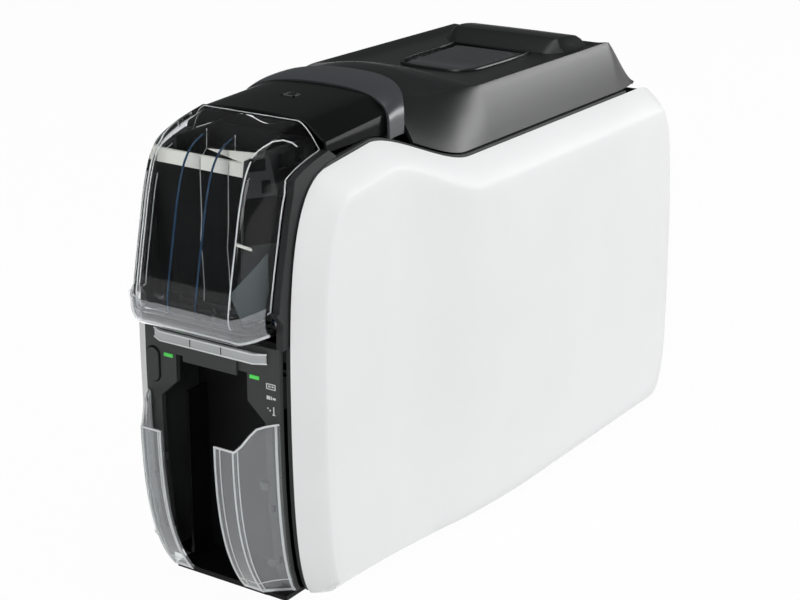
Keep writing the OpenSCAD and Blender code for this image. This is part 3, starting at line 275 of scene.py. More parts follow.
def oval(at, r, h, n=10):
    """Upright oval round a point of the front view."""
    top = [(at[0] + r * math.cos(math.pi * i / n), at[1] + h / 2 - r + r * math.sin(math.pi * i / n)) for i in range(n + 1)]
    low = [(at[0] - r * math.cos(math.pi * i / n), at[1] - h / 2 + r - r * math.sin(math.pi * i / n)) for i in range(n + 1)]
    return top + low


def cross(a, b):
    return (a[1] * b[2] - a[2] * b[1], a[2] * b[0] - a[0] * b[2], a[0] * b[1] - a[1] * b[0])


def grid_normals(g):
    rows, cols = len(g), len(g[0])
    out = []
    for r in range(rows):
        line = []
        for c in range(cols):
            a, b = g[max(0, r - 1)][c], g[min(rows - 1, r + 1)][c]
            d, e = g[r][max(0, c - 1)], g[r][min(cols - 1, c + 1)]
            n = Vector(cross([b[i] - a[i] for i in range(3)], [e[i] - d[i] for i in range(3)]))
            line.append(n.normalized() if n.length > 1e-9 else Vector((0, 0, 1)))
        out.append(line)
    return out


def grid_solid(outer, inner):
    """Closed sheet between two grids of points."""
    rows, cols = len(outer), len(outer[0])
    n = rows * cols
    verts = [tuple(p) for row in outer for p in row] + [tuple(p) for row in inner for p in row]
    faces = []
    for r in range(rows - 1):
        for c in range(cols - 1):
            a, b, d, e = r * cols + c, r * cols + c + 1, (r + 1) * cols + c + 1, (r + 1) * cols + c
            faces.append([a, b, d, e])
            faces.append([n + a, n + e, n + d, n + b])
    for c in range(cols - 1):
        faces.append([c + 1, c, n + c, n + c + 1])
        k = (rows - 1) * cols + c
        faces.append([k, k + 1, n + k + 1, n + k])
    for r in range(rows - 1):
        k = r * cols
        faces.append([k, k + cols, n + k + cols, n + k])
        k = r * cols + cols - 1
        faces.append([k + cols, k, n + k, n + k + cols])
    return verts, faces


def grid_shell(g, w):
    """Closed sheet: the grid, and the same grid moved inwards by w along its normals."""
    normals = grid_normals(g)
    inner = [[tuple(Vector(p) - w * m) for p, m in zip(row, nrow)] for row, nrow in zip(g, normals)]
    return grid_solid(g, inner)


def mirror(part):
    return [(-v[0], v[1], v[2]) for v in part[0]], [q[::-1] for q in part[1]]


def tube(points, r, closed=False, n=8, flat=1.0):
    """Rod of radius r along points."""
    pts = [Vector(p) for p in points]
    count = len(pts)
    verts, faces = [], []
    side = None
    for i, p in enumerate(pts):
        a = pts[i - 1] if i or closed else p
        b = pts[(i + 1) % count] if i < count - 1 or closed else p
        t = (b - a).normalized()
        if side is None:
            side = t.cross(Vector((0.13, 0.2, 1))).normalized()
        side = (side - t * side.dot(t)).normalized()
        up = t.cross(side)
        for k in range(n):
            an = 2 * math.pi * k / n
            verts.append(tuple(p + side * (r * math.cos(an)) + up * (r * flat * math.sin(an))))
    for i in range(count if closed else count - 1):
        for k in range(n):
            a, b = i * n + k, i * n + (k + 1) % n
            c, d = ((i + 1) % count) * n + (k + 1) % n, ((i + 1) % count) * n + k
            faces.append([a, b, c, d])
    if not closed:
        faces.append(list(range(n))[::-1])
        faces.append([(count - 1) * n + k for k in range(n)])
    return verts, faces


# White side panels
CURVE, WAIST = 18, 30
top_front = [[NOSE, NOSE_Z], [NOSE, NOSE_Z + 60], [NOSE + 4, HUMP_Z - 6], [NOSE + 36, HUMP_Z - 4.5]]
top_rear = [[REAR_Y - 40, REAR_Z], [REAR_Y - 12, REAR_Z], [REAR_Y, REAR_Z - 12], [REAR_Y, TAIL_Z]]
low_front = [[NOSE, NOSE_Z], [NOSE, NOSE_Z - 60], [NOSE + 3, 14], [NOSE + 14, PANEL_LIFT]]
low_rear = [[REAR_Y - 26, PANEL_LIFT], [REAR_Y - 10, PANEL_LIFT + 1], [REAR_Y, 14], [REAR_Y, TAIL_Z]]


def chain(front, rear, level):
    ys = [mix(WAIST_FROM, WAIST_TO, i / WAIST) for i in range(WAIST + 1)]
    a = [bezier(front, (i + 0.15) / (CURVE + 0.15)) for i in range(CURVE + 1)]
    b = [[y, level(y)] for y in ys]
    flat = [[mix(WAIST_TO, rear[0][0], i / 20), level(WAIST_TO)] for i in range(1, 20)]
    c = [bezier(rear, i / (CURVE + 0.15)) for i in range(CURVE + 1)]
    lead = [[mix(a[-1][0], ys[0], i / 8), mix(a[-1][1], b[0][1], i / 8)] for i in range(1, 8)]
    return a + lead + b + flat + c


upper = chain(top_front, top_rear, edge_z)
lower = chain(low_front, low_rear, lambda y: PANEL_LIFT)
outline = upper + lower[::-1]


def outline_normals():
    n = len(outline)
    out = []
    for i in range(n):
        a, b = outline[i - 1], outline[(i + 1) % n]
        d = math.hypot(b[0] - a[0], b[1] - a[1])
        out.append((-(b[1] - a[1]) / d, (b[0] - a[0]) / d))
    return out


normals2 = outline_normals()
BEVEL = {"front": 12, "hump": 14, "top": 17, "rear": 8, "low": 6}


def inset(i, g, extra):
    y, z = outline[i]
    ny, nz = normals2[i]
    amount = (ny * ny * (BEVEL["front"] if ny < 0 else BEVEL["rear"])
              + nz * nz * (mix(BEVEL["hump"], BEVEL["top"], waist(y)) if nz > 0 else BEVEL["low"])) * g + extra
    return y - ny * amount, z - nz * amount


def panel():
    shares = [0, 0.12, 0.26, 0.4, 0.54, 0.66, 0.76, 0.85, 0.92, 0.97, 1]
    rings = []
    n = len(outline)

    def ring(f, w, more=0.0):
        g = 0.62 * f + 0.38 * (1 - math.sqrt(1 - f * f))
        points = [inset(i, g, w + more) for i in range(n)]
        if more:
            low = NOSE + BEVEL["front"] + more
            for i in range(n // 2):
                a, b = points[i], points[n - 1 - i]
                low = max(low + 0.3, (a[0] + b[0]) / 2)
                low = min(low, REAR_Y - BEVEL["rear"] - more - 0.3 * (n // 2 - i))
                points[i], points[n - 1 - i] = (low, a[1]), (low, b[1])
        return [(mix(inner_x(outline[i][0]), outer_x(*p) - w, f), p[0], p[1]) for i, p in enumerate(points)]

    for f in shares[::-1]:
        rings.append(ring(f, WALL))
    for f in shares:
        rings.append(ring(f, 0))
    rings.append(ring(1, 0, 6))
    verts = [v for r in rings for v in r]
    faces = []
    m = len(rings)
    for k in range(m - 1):
        for i in range(n):
            j = (i + 1) % n
            faces.append([k * n + i, k * n + j, (k + 1) * n + j, (k + 1) * n + i])
    half = n // 2
    for i in range(half - 1):
        faces.append([i + 1, i, n - 1 - i, n - 2 - i])
        b = (m - 1) * n
        faces.append([b + i, b + i + 1, b + n - 2 - i, b + n - 1 - i])
    return verts, faces


right_panel = panel()
make("right_side_shell", *right_panel, "white_shell", stands_for=["right_side_panel"], sharp=32)
make("left_side_shell", *mirror(right_panel), "white_shell", stands_for=["left_side_panel"], sharp=32)


# Front band: fascia profile
def front_profile(off):
    lo = [bezier(low_front, 1 - i / CURVE) for i in range(CURVE + 1)]
    hi = [bezier(top_front, i / CURVE) for i in range(1, CURVE + 1)]
    return [[p[0] + off, p[1]] for p in lo + hi]


fascia_line = front_profile(FASCIA_BACK)


def fascia_y(z):
    return lookup([(p[1], p[0]) for p in fascia_line], z)


# Lid
PLATE_HINGE = (REAR_Y - 40, REAR_Z - 4)
LID_FRONT, LID_REAR, LID_SLOPE = NOSE + 104, PLATE_HINGE[0] + 9, REAR_Y - 62
KNEE = -8
CREASE_HALF = 56


def lid_drop(y):
    t = (y - LID_SLOPE) / (LID_REAR - LID_SLOPE)
    return 0 if t <= 0 else 0.2 * smooth(t) + 0.8 * t


def crease_z(y):
    if y < KNEE:
        return mix(BODY_H - 9.6, BODY_H - 11, max(0, (y - LID_FRONT) / (KNEE - LID_FRONT)) ** 0.85)
    return mix(BODY_H - 11, BODY_H - 12, (y - KNEE) / (LID_SLOPE - KNEE))


def lid_ease(y):
    return smooth((y - LID_FRONT) / (KNEE - LID_FRONT))


def skirt_x(y):
    s = inner_x(y) - 1.6
    if y > LID_SLOPE:
        s -= 5 * ((y - LID_SLOPE) / (LID_REAR - LID_SLOPE)) ** 2
    return s


def lid_half_row(y):
    sx, sz = skirt_x(y), edge_z(y) + 2.5
    cz = mix(crease_z(y), sz + 1, lid_drop(y))
    cx = min(mix(38, CREASE_HALF, lid_ease(y)), sx - 3)
    side = spline([[1, 0], [0.8, 0.27], [0.55, 0.55], [0.28, 0.8], [0.1, 0.94], [0, 1]], 4)
    pts = [[mix(cx, sx, a), mix(sz, cz, b)] for a, b in side]
    ease = lid_ease(y)
    bump = lookup([(LID_FRONT, 6.0), (-58, 7.0), (-46, 9.2), (-36, 9.9), (-24, 8.0), (-8, 4.2), (8, 1.2), (22, 0)], y)
    dish = 3.0 * smooth((y + 22) / 30) * (1 - smooth((y - LID_SLOPE + 6) / 10))
    for f in (0.985, 0.96, 0.93, 0.89, 0.84, 0.78, 0.7, 0.6, 0.48, 0.36, 0.24, 0.12):
        fall = smooth((1 - f) * cx / 9) * dish
        pts.append([cx * f, cz - fall + bump * (1 - f * f)])
    return pts


lid_ys = [mix(LID_FRONT, 20, i / 34) for i in range(35)] + [mix(20, LID_SLOPE - 8, i / 8) for i in range(1, 9)] \
    + [mix(LID_SLOPE - 8, LID_REAR, i / 18) for i in range(1, 19)]
lid_grid = []
for y in lid_ys:
    half = lid_half_row(y)
    lid_grid.append([(p[0], y, p[1]) for p in half] + [(-p[0], y, p[1]) for p in half[::-1]])
lid_part = grid_shell(lid_grid, 2.2)
lid_top = make("lid_top", *lid_part, "lid_grey", "lid", ["lid_shell"], sharp=28)

LATCH_Y, LATCH_HALF, LATCH_LEN = 25, 25, 70


def latch_plan(grow):
    half, back, y = LATCH_HALF + grow, LATCH_Y + LATCH_LEN + grow, LATCH_Y
    right = [[half, back], [half + 0.3, y + 40], [half - 0.5, y + 16], [half - 2.5, y + 8], [half - 7, y + 3 - grow],
             [half - 14, y - grow + 0.6], [6, y - grow]]
    nose = spline(right, 3)
    return [(x, yy) for x, yy in nose] + [(-x, yy) for x, yy in nose[::-1]]


def cut(target, part, name):
    """Cuts a closed shape out of a piece and keeps the result as its mesh."""
    mesh = bpy.data.meshes.new(name)
    mesh.from_pydata([(v[0] * MM, v[1] * MM, v[2] * MM) for v in part[0]], [], part[1])
    tool = bpy.data.objects.new(name, mesh)
    bpy.context.scene.collection.objects.link(tool)
    mod = target.modifiers.new("cut", "BOOLEAN")
    mod.object, mod.operation, mod.solver = tool, "DIFFERENCE", "EXACT"
    dg = bpy.context.evaluated_depsgraph_get()
    done = bpy.data.meshes.new_from_object(target.evaluated_get(dg))
    target.modifiers.remove(mod)
    target.data = done
    bpy.data.objects.remove(tool)
    for p in done.polygons:
        p.use_smooth = True
    done.set_sharp_from_angle(angle=math.radians(28))


cut(lid_top, prism_z(latch_plan(0.6), 200, 300), "latch_cut")


def plateau(y):
    return crease_z(y) - 3.0


# raised lip round the release button
lip = latch_plan(1.6)
lip_points = [(x, y, plateau(y) + 0.5) for x, y in lip]
make("latch_lip", *tube(lip_points, 1.1, closed=True, n=8, flat=0.9), "lid_grey", "lid")

# release button: dished top with ribs
def button_grid():
    rows = []
    ys = [mix(LATCH_Y + 0.4, LATCH_Y + LATCH_LEN, i / 46) for i in range(47)]
    plan = latch_plan(0)
    half_at = [(y, max(abs(p[0]) for p in plan if abs(p[1] - min(plan, key=lambda q: abs(q[1] - y))[1]) < 0.01)) for y in ys]
    for y, half in half_at:
        row = []
        for k in range(25):
            u = -1 + 2 * k / 24
            x = half * u
            edge = smooth((1 - abs(u)) * half / 4)
            front = smooth((y - LATCH_Y) / 9)
            rib = 0
            for i in range(6):
                c = LATCH_Y + 20 + 8.2 * i
                t = (y - c) / 4.1
                if -1 < t < 1 and abs(x) < half - 3:
                    rib = max(rib, 2.0 * (1 - abs(t)) * (1 if t < 0 else 1 - 0.4 * t) * smooth((half - 3 - abs(x)) / 2))
            z = plateau(y) - 1.6 + 2.2 * edge * front - 1.6 * edge * smooth((y - LATCH_Y - 12) / 12) + rib \
                + 0.8 * (y - LATCH_Y) / LATCH_LEN
            row.append((-x, y, z))
        rows.append(row)
    return rows


bg = button_grid()
button_part = grid_solid(bg, [[(p[0], p[1], plateau(p[1]) - 6) for p in row] for row in bg])
plunger = block((-5, NOSE + 46 + 137 + 22 + 35.4, REAR_Z + 21.8), (5, NOSE + 46 + 137 + 22 + 39.4, BODY_H - 15))
make("release_button", *join_meshes([button_part, plunger]), "button_grey", "latch_key", ["latch_button"], sharp=40,
     slot="lid_grey")

# rear pad behind the button, with a sloping front wall
pad_front, pad_back = LATCH_Y + LATCH_LEN + 5.5, LID_SLOPE - 2
pad_rows = []
for t, y, z, half in [(0, pad_front, -1.2, 32), (0, pad_front + 1, 0.2, 32.6), (0, pad_front + 10, 7.0, 36.2),
                      (0, pad_front + 11.5, 7.9, 36.8), (0, pad_front + 13.5, 8.2, 37.4), (0, pad_front + 20, 8.3, 38),
                      (0, pad_back - 14, 7.8, 38.5), (0, pad_back - 7, 6.9, 38.5), (0, pad_back - 3, 5.2, 38.2),
                      (0, pad_back, 2.2, 38)]:
    base = plateau(y) - 0.4
    top = base + z
    row = []
    foot = half + 5 + max(0, z) * 0.25
    for x, h in [(foot, 0.0), (half + 3.2, 0.45), (half + 1.2, 0.85), (half - 0.5, 1.0), (half - 3, 1.02), (half * 0.6, 1.03),
                 (half * 0.3, 1.04)]:
        row.append((x, y, base + z * h if z > 0 else top))
    pad_rows.append(row + [(-p[0], p[1], p[2]) for p in row[::-1]])
pad_part = grid_solid(pad_rows, [[(p[0], p[1], plateau(p[1]) - 1.6) for p in row] for row in pad_rows])
make("rear_pad", *pad_part, "lid_grey", "lid", ["lid_rear_cap"], sharp=30)

# satin collar between the hopper cover and the lid
COLLAR_Y = NOSE + 96
collar_line = spline([[49.6, HUMP_Z - 1.5], [49.4, HUMP_Z + 5], [48.8, BODY_H - 14], [46.6, BODY_H - 10.2],
                      [42, BODY_H - 7.2], [33, BODY_H - 4.2], [18, BODY_H - 2.3], [0, BODY_H - 1.7]], 5)
collar_line += [[-x, z] for x, z in collar_line[-2::-1]]
collar_rows = []
for k in range(9):
    t = k / 8
    row = []
    for x, z in collar_line:
        front = COLLAR_Y - 13 * (abs(x) / 60) ** 3
        back = COLLAR_Y + 28 - 38 * (abs(x) / 60) ** 3
        rise = 1.6 * math.sin(math.pi / 2 * t) * smooth((50 - abs(x)) / 8)
        row.append((x, mix(front, back, t), z + rise - 1.0 * (1 - t) ** 4))
    collar_rows.append(row)
make("collar_band", *grid_shell(collar_rows, 1.8), "collar_grey", "lid", ["lid_collar"], sharp=50, bevel=0.35)

# Hopper cover
COVER_FRONT, COVER_REAR = NOSE + 36, LID_FRONT - 0.8
COVER_FOOT = HUMP_Z + 1.6


def cover_row(y):
    t = (y - COVER_FRONT) / 70
    lift = mix(-2.0, 3.2, min(1, max(0, t)))
    sh = BODY_H - 14.4 + lift
    top = BODY_H - 6.6 + lift * 0.6
    return [[46.0, COVER_FOOT], [45.9, COVER_FOOT + 3], [45.6, sh - 1.2], [45.0, sh - 0.3], [44.2, sh + 0.2], [43.2, sh + 0.6],
            [34.4, top - 1.1], [33, top - 0.6], [31.4, top - 0.2], [24, top + 0.45], [12, top + 1.0], [0, top + 1.2]]


cover_rows = []
for y in [COVER_FRONT, COVER_FRONT + 0.8] + [mix(COVER_FRONT + 2, COVER_REAR, i / 12) for i in range(13)]:
    row = cover_row(y)
    if y < COVER_FRONT + 0.5:
        row = [[p[0] - 0.5, p[1] - 0.5] for p in row]
    half = [(p[0], y, p[1]) for p in row]
    cover_rows.append(half + [(-p[0], p[1], p[2]) for p in half[-2::-1]])
cover_part = grid_shell(cover_rows, 2.2)


apron_ys = [mix(WAIST_FROM, COVER_REAR, i / 6) for i in range(7)]
apron = [[WAIST_FROM, COVER_FOOT + 0.6]] + [[y, edge_z(y) + 1.9] for y in apron_ys] + [[COVER_REAR, COVER_FOOT + 0.6]]
cover_all = join_meshes([cover_part, prism_x(apron, 43.6, 45.9), prism_x(apron, -45.9, -43.6)])
make("hopper_cap", *cover_all, "gloss_black", "body", ["hopper_cover"], sharp=32)

# Clear door with its ribs
DOOR_HALF, DOOR_FLAT, CLEAR = 42.5, 31, 2.4
PIN = (NOSE + 4.5, 157)
door_raw = [[4, 153], [-8, 153.5], [-18, 156], [-25, 160.5], [-26.8, 166], [-25.7, 175], [-22.6, 190], [-19.2, 205],
            [-15.8, 220], [-12, 232], [-8.1, 240], [-2, 246.5], [8, 251], [20, 254.3], [34, 257]]
door_path = spline([[NOSE + a, b] for a, b in door_raw], 4)


def path_normal(path, k):
    a, b = path[max(0, k - 1)], path[min(len(path) - 1, k + 1)]
    d = math.hypot(b[0] - a[0], b[1] - a[1])
    return (b[1] - a[1]) / d, -(b[0] - a[0]) / d


def setback(x):
    d = max(0.0, abs(x) - DOOR_FLAT)
    return 19.4 * (d / (DOOR_HALF - DOOR_FLAT)) ** 1.7


def side_share(k):
    return lookup([(0, 0.1), (8, 0.2), (14, 0.55), (18, 1), (36, 1), (44, 0.85), (56, 0.75)], k)


door_xs = [0, 6, 12, 18, 24, 28, 29.6, 30.8, 31.8, 33.2, 35.5, 38, 40, 41.3, 42.1, 42.5]
door_xs = [-x for x in door_xs[:0:-1]] + door_xs


def door_point(k, x, w=0.0):
    ny, nz = path_normal(door_path, k)
    s = setback(x) * side_share(k) + w
    return (x * (1 - w / DOOR_HALF), door_path[k][0] + ny * s, door_path[k][1] + nz * s)


door_outer = [[door_point(k, x) for x in door_xs] for k in range(len(door_path))]
door_inner = [[door_point(k, x, CLEAR) for x in door_xs] for k in range(len(door_path))]
door_part = grid_solid(door_outer, door_inner)
make("door_shell", *door_part, "smoked_clear", "door", ["hopper_door"], sharp=60)

last = len(door_path) - 1


def cheek(x1, x2):
    """Smooth dark strip beside the door: its front follows the door's edge up to the cover."""
    front = [[fascia_y(z) - 0.3, z] for z in (146.5, 154, 161)]
    for k in range(17, last + 1):
        edge = door_point(k, DOOR_HALF)
        front.append([edge[1] + 0.3, edge[2]])
    return prism_x(front + [[NOSE + 44, 238], [NOSE + 16, 222], [NOSE + 5, 195], [NOSE + 3, 146.5]], x1, x2)


make("door_cheeks", *join_meshes([cheek(43.1, 47.4), cheek(-47.4, -43.1)]), "cheek_grey", "body", sharp=32, bevel=0.5)
# Pale tubes along the door's side and top edges and over its two top corners: painted highlights for the light on the
# clear door's edges and corner arcs
edge_side = [[door_point(k, s * 42.4, 1.0) for k in range(17, last + 1)] for s in (-1, 1)]
door_highlights = [tube(line, 0.4, n=8) for line in edge_side]
door_highlights.append(tube([door_point(last, x, 1.0) for x in door_xs], 0.3, n=8))
corner = [door_point(k, 30.5, 0.5) for k in range(12, 42)] + \
    [(29.7, -180.5, 245.7), (30.6, -177.2, 247.7), (31.2, -174.2, 248.9), (32.4, -168.1, 250.6),
     (34.5, -162.3, 250.5), (36.9, -157.9, 248.6), (38.6, -156.1, 246.4)]
door_highlights.append(tube(corner, 0.4, n=8))
door_highlights.append(tube([(-v[0], v[1], v[2]) for v in corner], 0.4, n=8))
make("door_rim", *join_meshes(door_highlights), "clear_rim", "door", sharp=60)

lip_line = spline([[NOSE - 26.9, 167], [NOSE - 27.1, 161.5], [NOSE - 25.6, 156.6], [NOSE - 22, 153],
                   [NOSE - 17, 151.4], [NOSE - 11, 151.6], [NOSE - 6, 152.4]], 4)[:14]


def lip_point(k, x):
    """Point of the smooth clear lip under the door."""
    share = mix(0.85, 0.66, k / (len(lip_line) - 1))
    return (x, lip_line[k][0] + setback(x) * share, lip_line[k][1] + 0.25 * setback(x) * share)


lip_rows = [[lip_point(k, x) for x in door_xs[1:-1]] for k in range(len(lip_line) - 1, -1, -1)]
make("door_lower_lip", *grid_shell(lip_rows, 1.1), "lip_clear", "door", sharp=50)
# Pale tube along the lip's lower edge: a painted highlight
lip_highlight_line = [lip_point(13, x) for x in door_xs[1:-1]]
make("door_lip_edge", *tube(lip_highlight_line, 0.8, n=8), "clear_rim", "door", sharp=60)

# two deep thin fins on the inside of the door: a blue root line, and a pale tube on the free edge that is a painted
# highlight
fin_ends = [[-166.5, 251], [-167, 241], [-172.8, 236], [-172.9, 205], [-174.3, 193.6], [-173.3, 181],
            [-172.9, 168], [-173.5, 160]]
for name, x, lift in (("a", -11, 0), ("b", 7.5, -1)):
    root = []
    for k in range(10, 49):
        ny, nz = path_normal(door_path, k)
        root.append([door_path[k][0] + 2.5 * ny, door_path[k][1] + 2.5 * nz])
    free = [[y - (1.2 if z < 230 and lift else 0), z + lift] for y, z in fin_ends]
    make("door_rib_" + name, *prism_x(root + free, x - 0.4, x + 0.4), "smoked_clear", "door", sharp=30)
    make("door_root_" + name, *tube([(x, y, z) for y, z in root], 0.6, n=6), "rib_blue", "door", sharp=60)
    make("door_edge_" + name, *tube([(x, y, z) for y, z in free], 0.22, n=6), "clear_rim", "door", sharp=60)

lugs = []
for s in (-1, 1):
    cx = s * (DOOR_HALF - 2.1)
    ring = [(PIN[0] + 4.2 * math.cos(2 * math.pi * i / 24), PIN[1] + 4.2 * math.sin(2 * math.pi * i / 24)) for i in range(24)]
    lugs.append(prism_x(ring, cx - 2, cx + 2))
    lugs.append(block((cx - 1.9, PIN[0] - 12, 153.9), (cx + 1.9, PIN[0], 159.5)))
make("door_lugs", *join_meshes(lugs), "smoked_clear", "door", sharp=40, bevel=0.3)

# Output wings
WING_IN, WING_CORNER, WING_OUT = 18, 31, 44.6
wing_front = [[FRONT_Y + 22, FLOOR_Z], [FRONT_Y + 8, 24], [FRONT_Y, 50], [FRONT_Y, 95]]
wing_xs = [18, 18.6, 20, 24.5, 29, 30.2, 31, 31.8, 33.5, 36, 38, 40.5, 42.6, 44, 44.6]


def wing_point(t, x, w=0.0):
    p = bezier(wing_front, t)
    f = max(0.0, (x - WING_CORNER) / (WING_OUT - WING_CORNER))
    z = p[1] + t * 11 * smooth(min(1, f / 0.6))
    back = fascia_y(z) - 0.1
    y = mix(p[0], back, f)
    run = math.hypot(back - p[0], WING_OUT - WING_CORNER)
    sy, sx = (back - p[0]) / run, (WING_OUT - WING_CORNER) / run
    if f > 0:
        return (x - w * sy, y + w * sx - (0.3 if f == 1 and w else 0), z)
    return (x, y + w, z)


wing_ts = [0, 0.03, 0.08] + [mix(0.14, 1, i / 16) for i in range(17)]
wing_outer = [[wing_point(t, x) for x in wing_xs] for t in wing_ts]
wing_inner = [[wing_point(t, x, CLEAR) for x in wing_xs] for t in wing_ts]
wing_part = grid_solid(wing_outer, wing_inner)
# Pale tubes along the wings' edges: painted highlights for the bright double edges of the clear wings
wing_highlight_lines = [([wing_point(t, 18.4, 0.6) for t in wing_ts], 0.6), ([wing_point(t, 20.8, 1.8) for t in wing_ts], 0.35),
             ([wing_point(t, 30.4, 0.5) for t in wing_ts], 0.5), ([wing_point(t, 32.4, 0.8) for t in wing_ts], 0.35),
             ([wing_point(1, x, 0.6) for x in wing_xs], 0.6),
             ([wing_point(0.015, x, 1.1) for x in wing_xs], 0.8), ([wing_point(0.12, x, 0.9) for x in wing_xs], 0.3),
             ([wing_point(t, 43.6, 1.1) for t in wing_ts], 0.8)]
wing_highlight_part = join_meshes([tube(line, r, n=8) for line, r in wing_highlight_lines])
for name, node, fn in (("right", "right_wing", lambda p: p), ("left", "left_wing", mirror)):
    make(name + "_wing_wall", *fn(wing_part), "clear", "body", [node], sharp=35)
    make(name + "_wing_rim", *fn(wing_highlight_part), "clear_rim", "body", sharp=60)

clips = []
for t in (0.28, 0.62):
    at = wing_point(t, 41.6, 2.9)
    clips.append(block((at[0] - 1.6, at[1] - 1, at[2] - 1.8), (at[0] + 1.6, at[1] + 1, at[2] + 1.8)))
clip_part = join_meshes(clips)
make("wing_studs", *join_meshes([clip_part, mirror(clip_part)]), "clip_grey", "body", sharp=30, bevel=0.3)

# Light bar, button ring and marks
BAR_Y, BAR_LOW, BAR_H = NOSE - 9, 137.8, 5.6
bar_plan = [(-31, BAR_Y), (31, BAR_Y), (37.6, BAR_Y + 3.4), (36.4, BAR_Y + 4.0), (30, BAR_Y + 2.6), (-30, BAR_Y + 2.6),
            (-36.4, BAR_Y + 4.0), (-37.6, BAR_Y + 3.4)]
make("bar_lens", *prism_z(bar_plan, BAR_LOW, BAR_LOW + BAR_H), "bar_clear", "body", ["light_bar"], sharp=30, bevel=0.5)
# Pale tubes along the bar's top and bottom edges: painted highlights
bar_edges = [tube([(x, y, z) for x, y in bar_plan[6:] + bar_plan[:4]], 0.45, n=6)
             for z in (BAR_LOW + 0.3, BAR_LOW + BAR_H - 0.3)]
make("bar_edges", *join_meshes(bar_edges), "clear_rim", "body", sharp=60)
bar_seams = join_meshes([block((x - 0.25, BAR_Y - 0.12, BAR_LOW + 0.6), (x + 0.25, BAR_Y + 0.6, BAR_LOW + BAR_H - 0.6))
                         for x in (-10.3, 10.3)])
make("bar_seams", *bar_seams, "seam_black", "body", sharp=30)

SIGN = (-0.6, -106.4)
BUTTON = (-39.4, 122)
ring_line = [(p[0], fascia_y(p[1]) - 0.15, p[1]) for p in oval(BUTTON, 4.35, 19.7, 14)]
make("button_ring", *tube(ring_line, 0.42, closed=True, n=6), "seam_black", "body", sharp=60)


def mark(parts, name, at, mat="icon_white"):
    """Small generic sign on the fascia, from blocks in the front view."""
    out = []
    for x1, z1, x2, z2 in parts:
        z = at[1] + (z1 + z2) / 2
        y = fascia_y(z)
        out.append(block((at[0] + x1, y - 0.12, at[1] + z1), (at[0] + x2, y + 0.2, at[1] + z2)))
    make(name, *join_meshes(out), mat, "body", sharp=30)


card_sign = [(-3, -1.6, -2.4, 1.6), (2.4, -1.6, 3, 1.6), (-2.4, 1.1, 2.4, 1.6), (-2.4, -1.6, 2.4, -1.1), (-1.6, -0.4, -0.2, 0.5),
             (0.5, -0.4, 1.7, 0.5)]
mark(card_sign, "sign_card", (39.3, 125.9))
mark([(-3, -1.5, -0.8, 1.5), (-0.8, -0.4, 1, 0.4), (1, -1.5, 3, 1.5)], "sign_output", (14, 131.8), "clip_grey")
mark([(-2.8, -1, -0.6, 1), (-0.2, -0.9, 0.6, 0.9), (1.1, -0.7, 3, 0.5)], "sign_ribbon", (39.3, 119.7))
mark([(-2.6, 0.2, -1.8, 1), (-1.2, -0.8, -0.4, 0), (1.2, -2.4, 1.9, 2), (0.6, -2.8, 2.5, -2.2)], "sign_service", (39.3, 113.1))



def cover_z(x, y):
    return lookup([(p[0], p[1]) for p in cover_row(y)[::-1]], abs(x))


feed_sign = []
for x1, y1, x2, y2 in ((-3.4, -3, -2.7, 3), (-3.4, -3, 2.6, -2.2), (2.0, -3, 2.6, 1), (-3.4, 2.2, -0.4, 3), (0.6, 0.2, 1.3, 5),
                       (-0.6, 3.4, 2.5, 4.2)):
    top = cover_z(SIGN[0], SIGN[1])
    feed_sign.append(block((SIGN[0] + 1.4 * x1, SIGN[1] + 1.6 * y1, top - 0.4), (SIGN[0] + 1.4 * x2, SIGN[1] + 1.6 * y2, top + 0.12)))
make("sign_feed", *join_meshes(feed_sign), "clip_grey", "body", sharp=30)

# Mechanism seen through the door
HOP_FRONT = NOSE + 8
PLATE = HOP_FRONT - 1.7
front_plate = block((-42.8, PLATE, 160), (18, HOP_FRONT - 0.3, 231))
make("feeder_plate", *front_plate, "gloss_black", "body", sharp=30, bevel=0.4)
# Pale strip and wedge behind the door's top bend: painted highlights that stand in for a lamp reflected on the door's
# curved top
strip = prism_y([(-41, 231), (17.8, 230.5), (20, 236), (19.4, 238), (-41, 238.4)], PLATE - 0.6, HOP_FRONT - 0.3)
highlight_wedge = prism_y([(-6.4, 242.3), (20.2, 237.5), (25.5, 244.5)], PLATE - 0.4, PLATE + 0.4)
make("feeder_strip", *join_meshes([strip, highlight_wedge]), "pale_strip", "body", sharp=30)


def oblique(points, near, far):
    """Flat piece beside the feeder, parallel to the oblique side of the door, from points of (u, z)."""
    verts, faces = prism_x(points, near, far)
    return [(30 + 0.51 * u - 0.86 * d, -184 + 0.86 * u + 0.51 * d, z) for d, u, z in verts], [q[::-1] for q in faces]


def span(u1, z1, u2, z2):
    return [(u1, z1), (u2, z1), (u2, z2), (u1, z2)]


frame_plan = [(-6, 160), (6, 160), (11, 175), (15, 200), (15, 226), (12, 240), (9.8, 247), (-2, 243.5), (-4, 225)]
make("feeder_post", *oblique(frame_plan, 0.6, 2.6), "cheek_grey", "body", sharp=30, bevel=0.4)
# Black plates in the feeder post's holes: painted shade for the dark inside seen through them
hole_shades = [oblique(span(0, 238, 8.6, 244), 0.35, 1.2), oblique(span(6.3, 226.4, 11.2, 233), 0.35, 1.2),
         oblique([(-3.8, 200), (14.6, 200), (14.7, 224.5), (-3.6, 224.5)], 0.35, 1.2)]
make("feeder_windows", *join_meshes(hole_shades), "seam_black", "body", sharp=30)
shield = oblique([(-6.3, 160.2), (5.1, 158.6), (8.8, 175.5), (8.7, 194.8), (-9.8, 178), (-12.2, 175.4)], 0.0, 0.9)
make("feeder_shield", *shield, "shield_grey", "body", sharp=30, bevel=0.3)
ledge = oblique([(-8, 200.9), (0, 197.2), (0, 198.8), (-8, 202.6)], -0.8, 1.6)
make("feeder_ledge", *ledge, "pale_strip", "body", sharp=30, bevel=0.3)

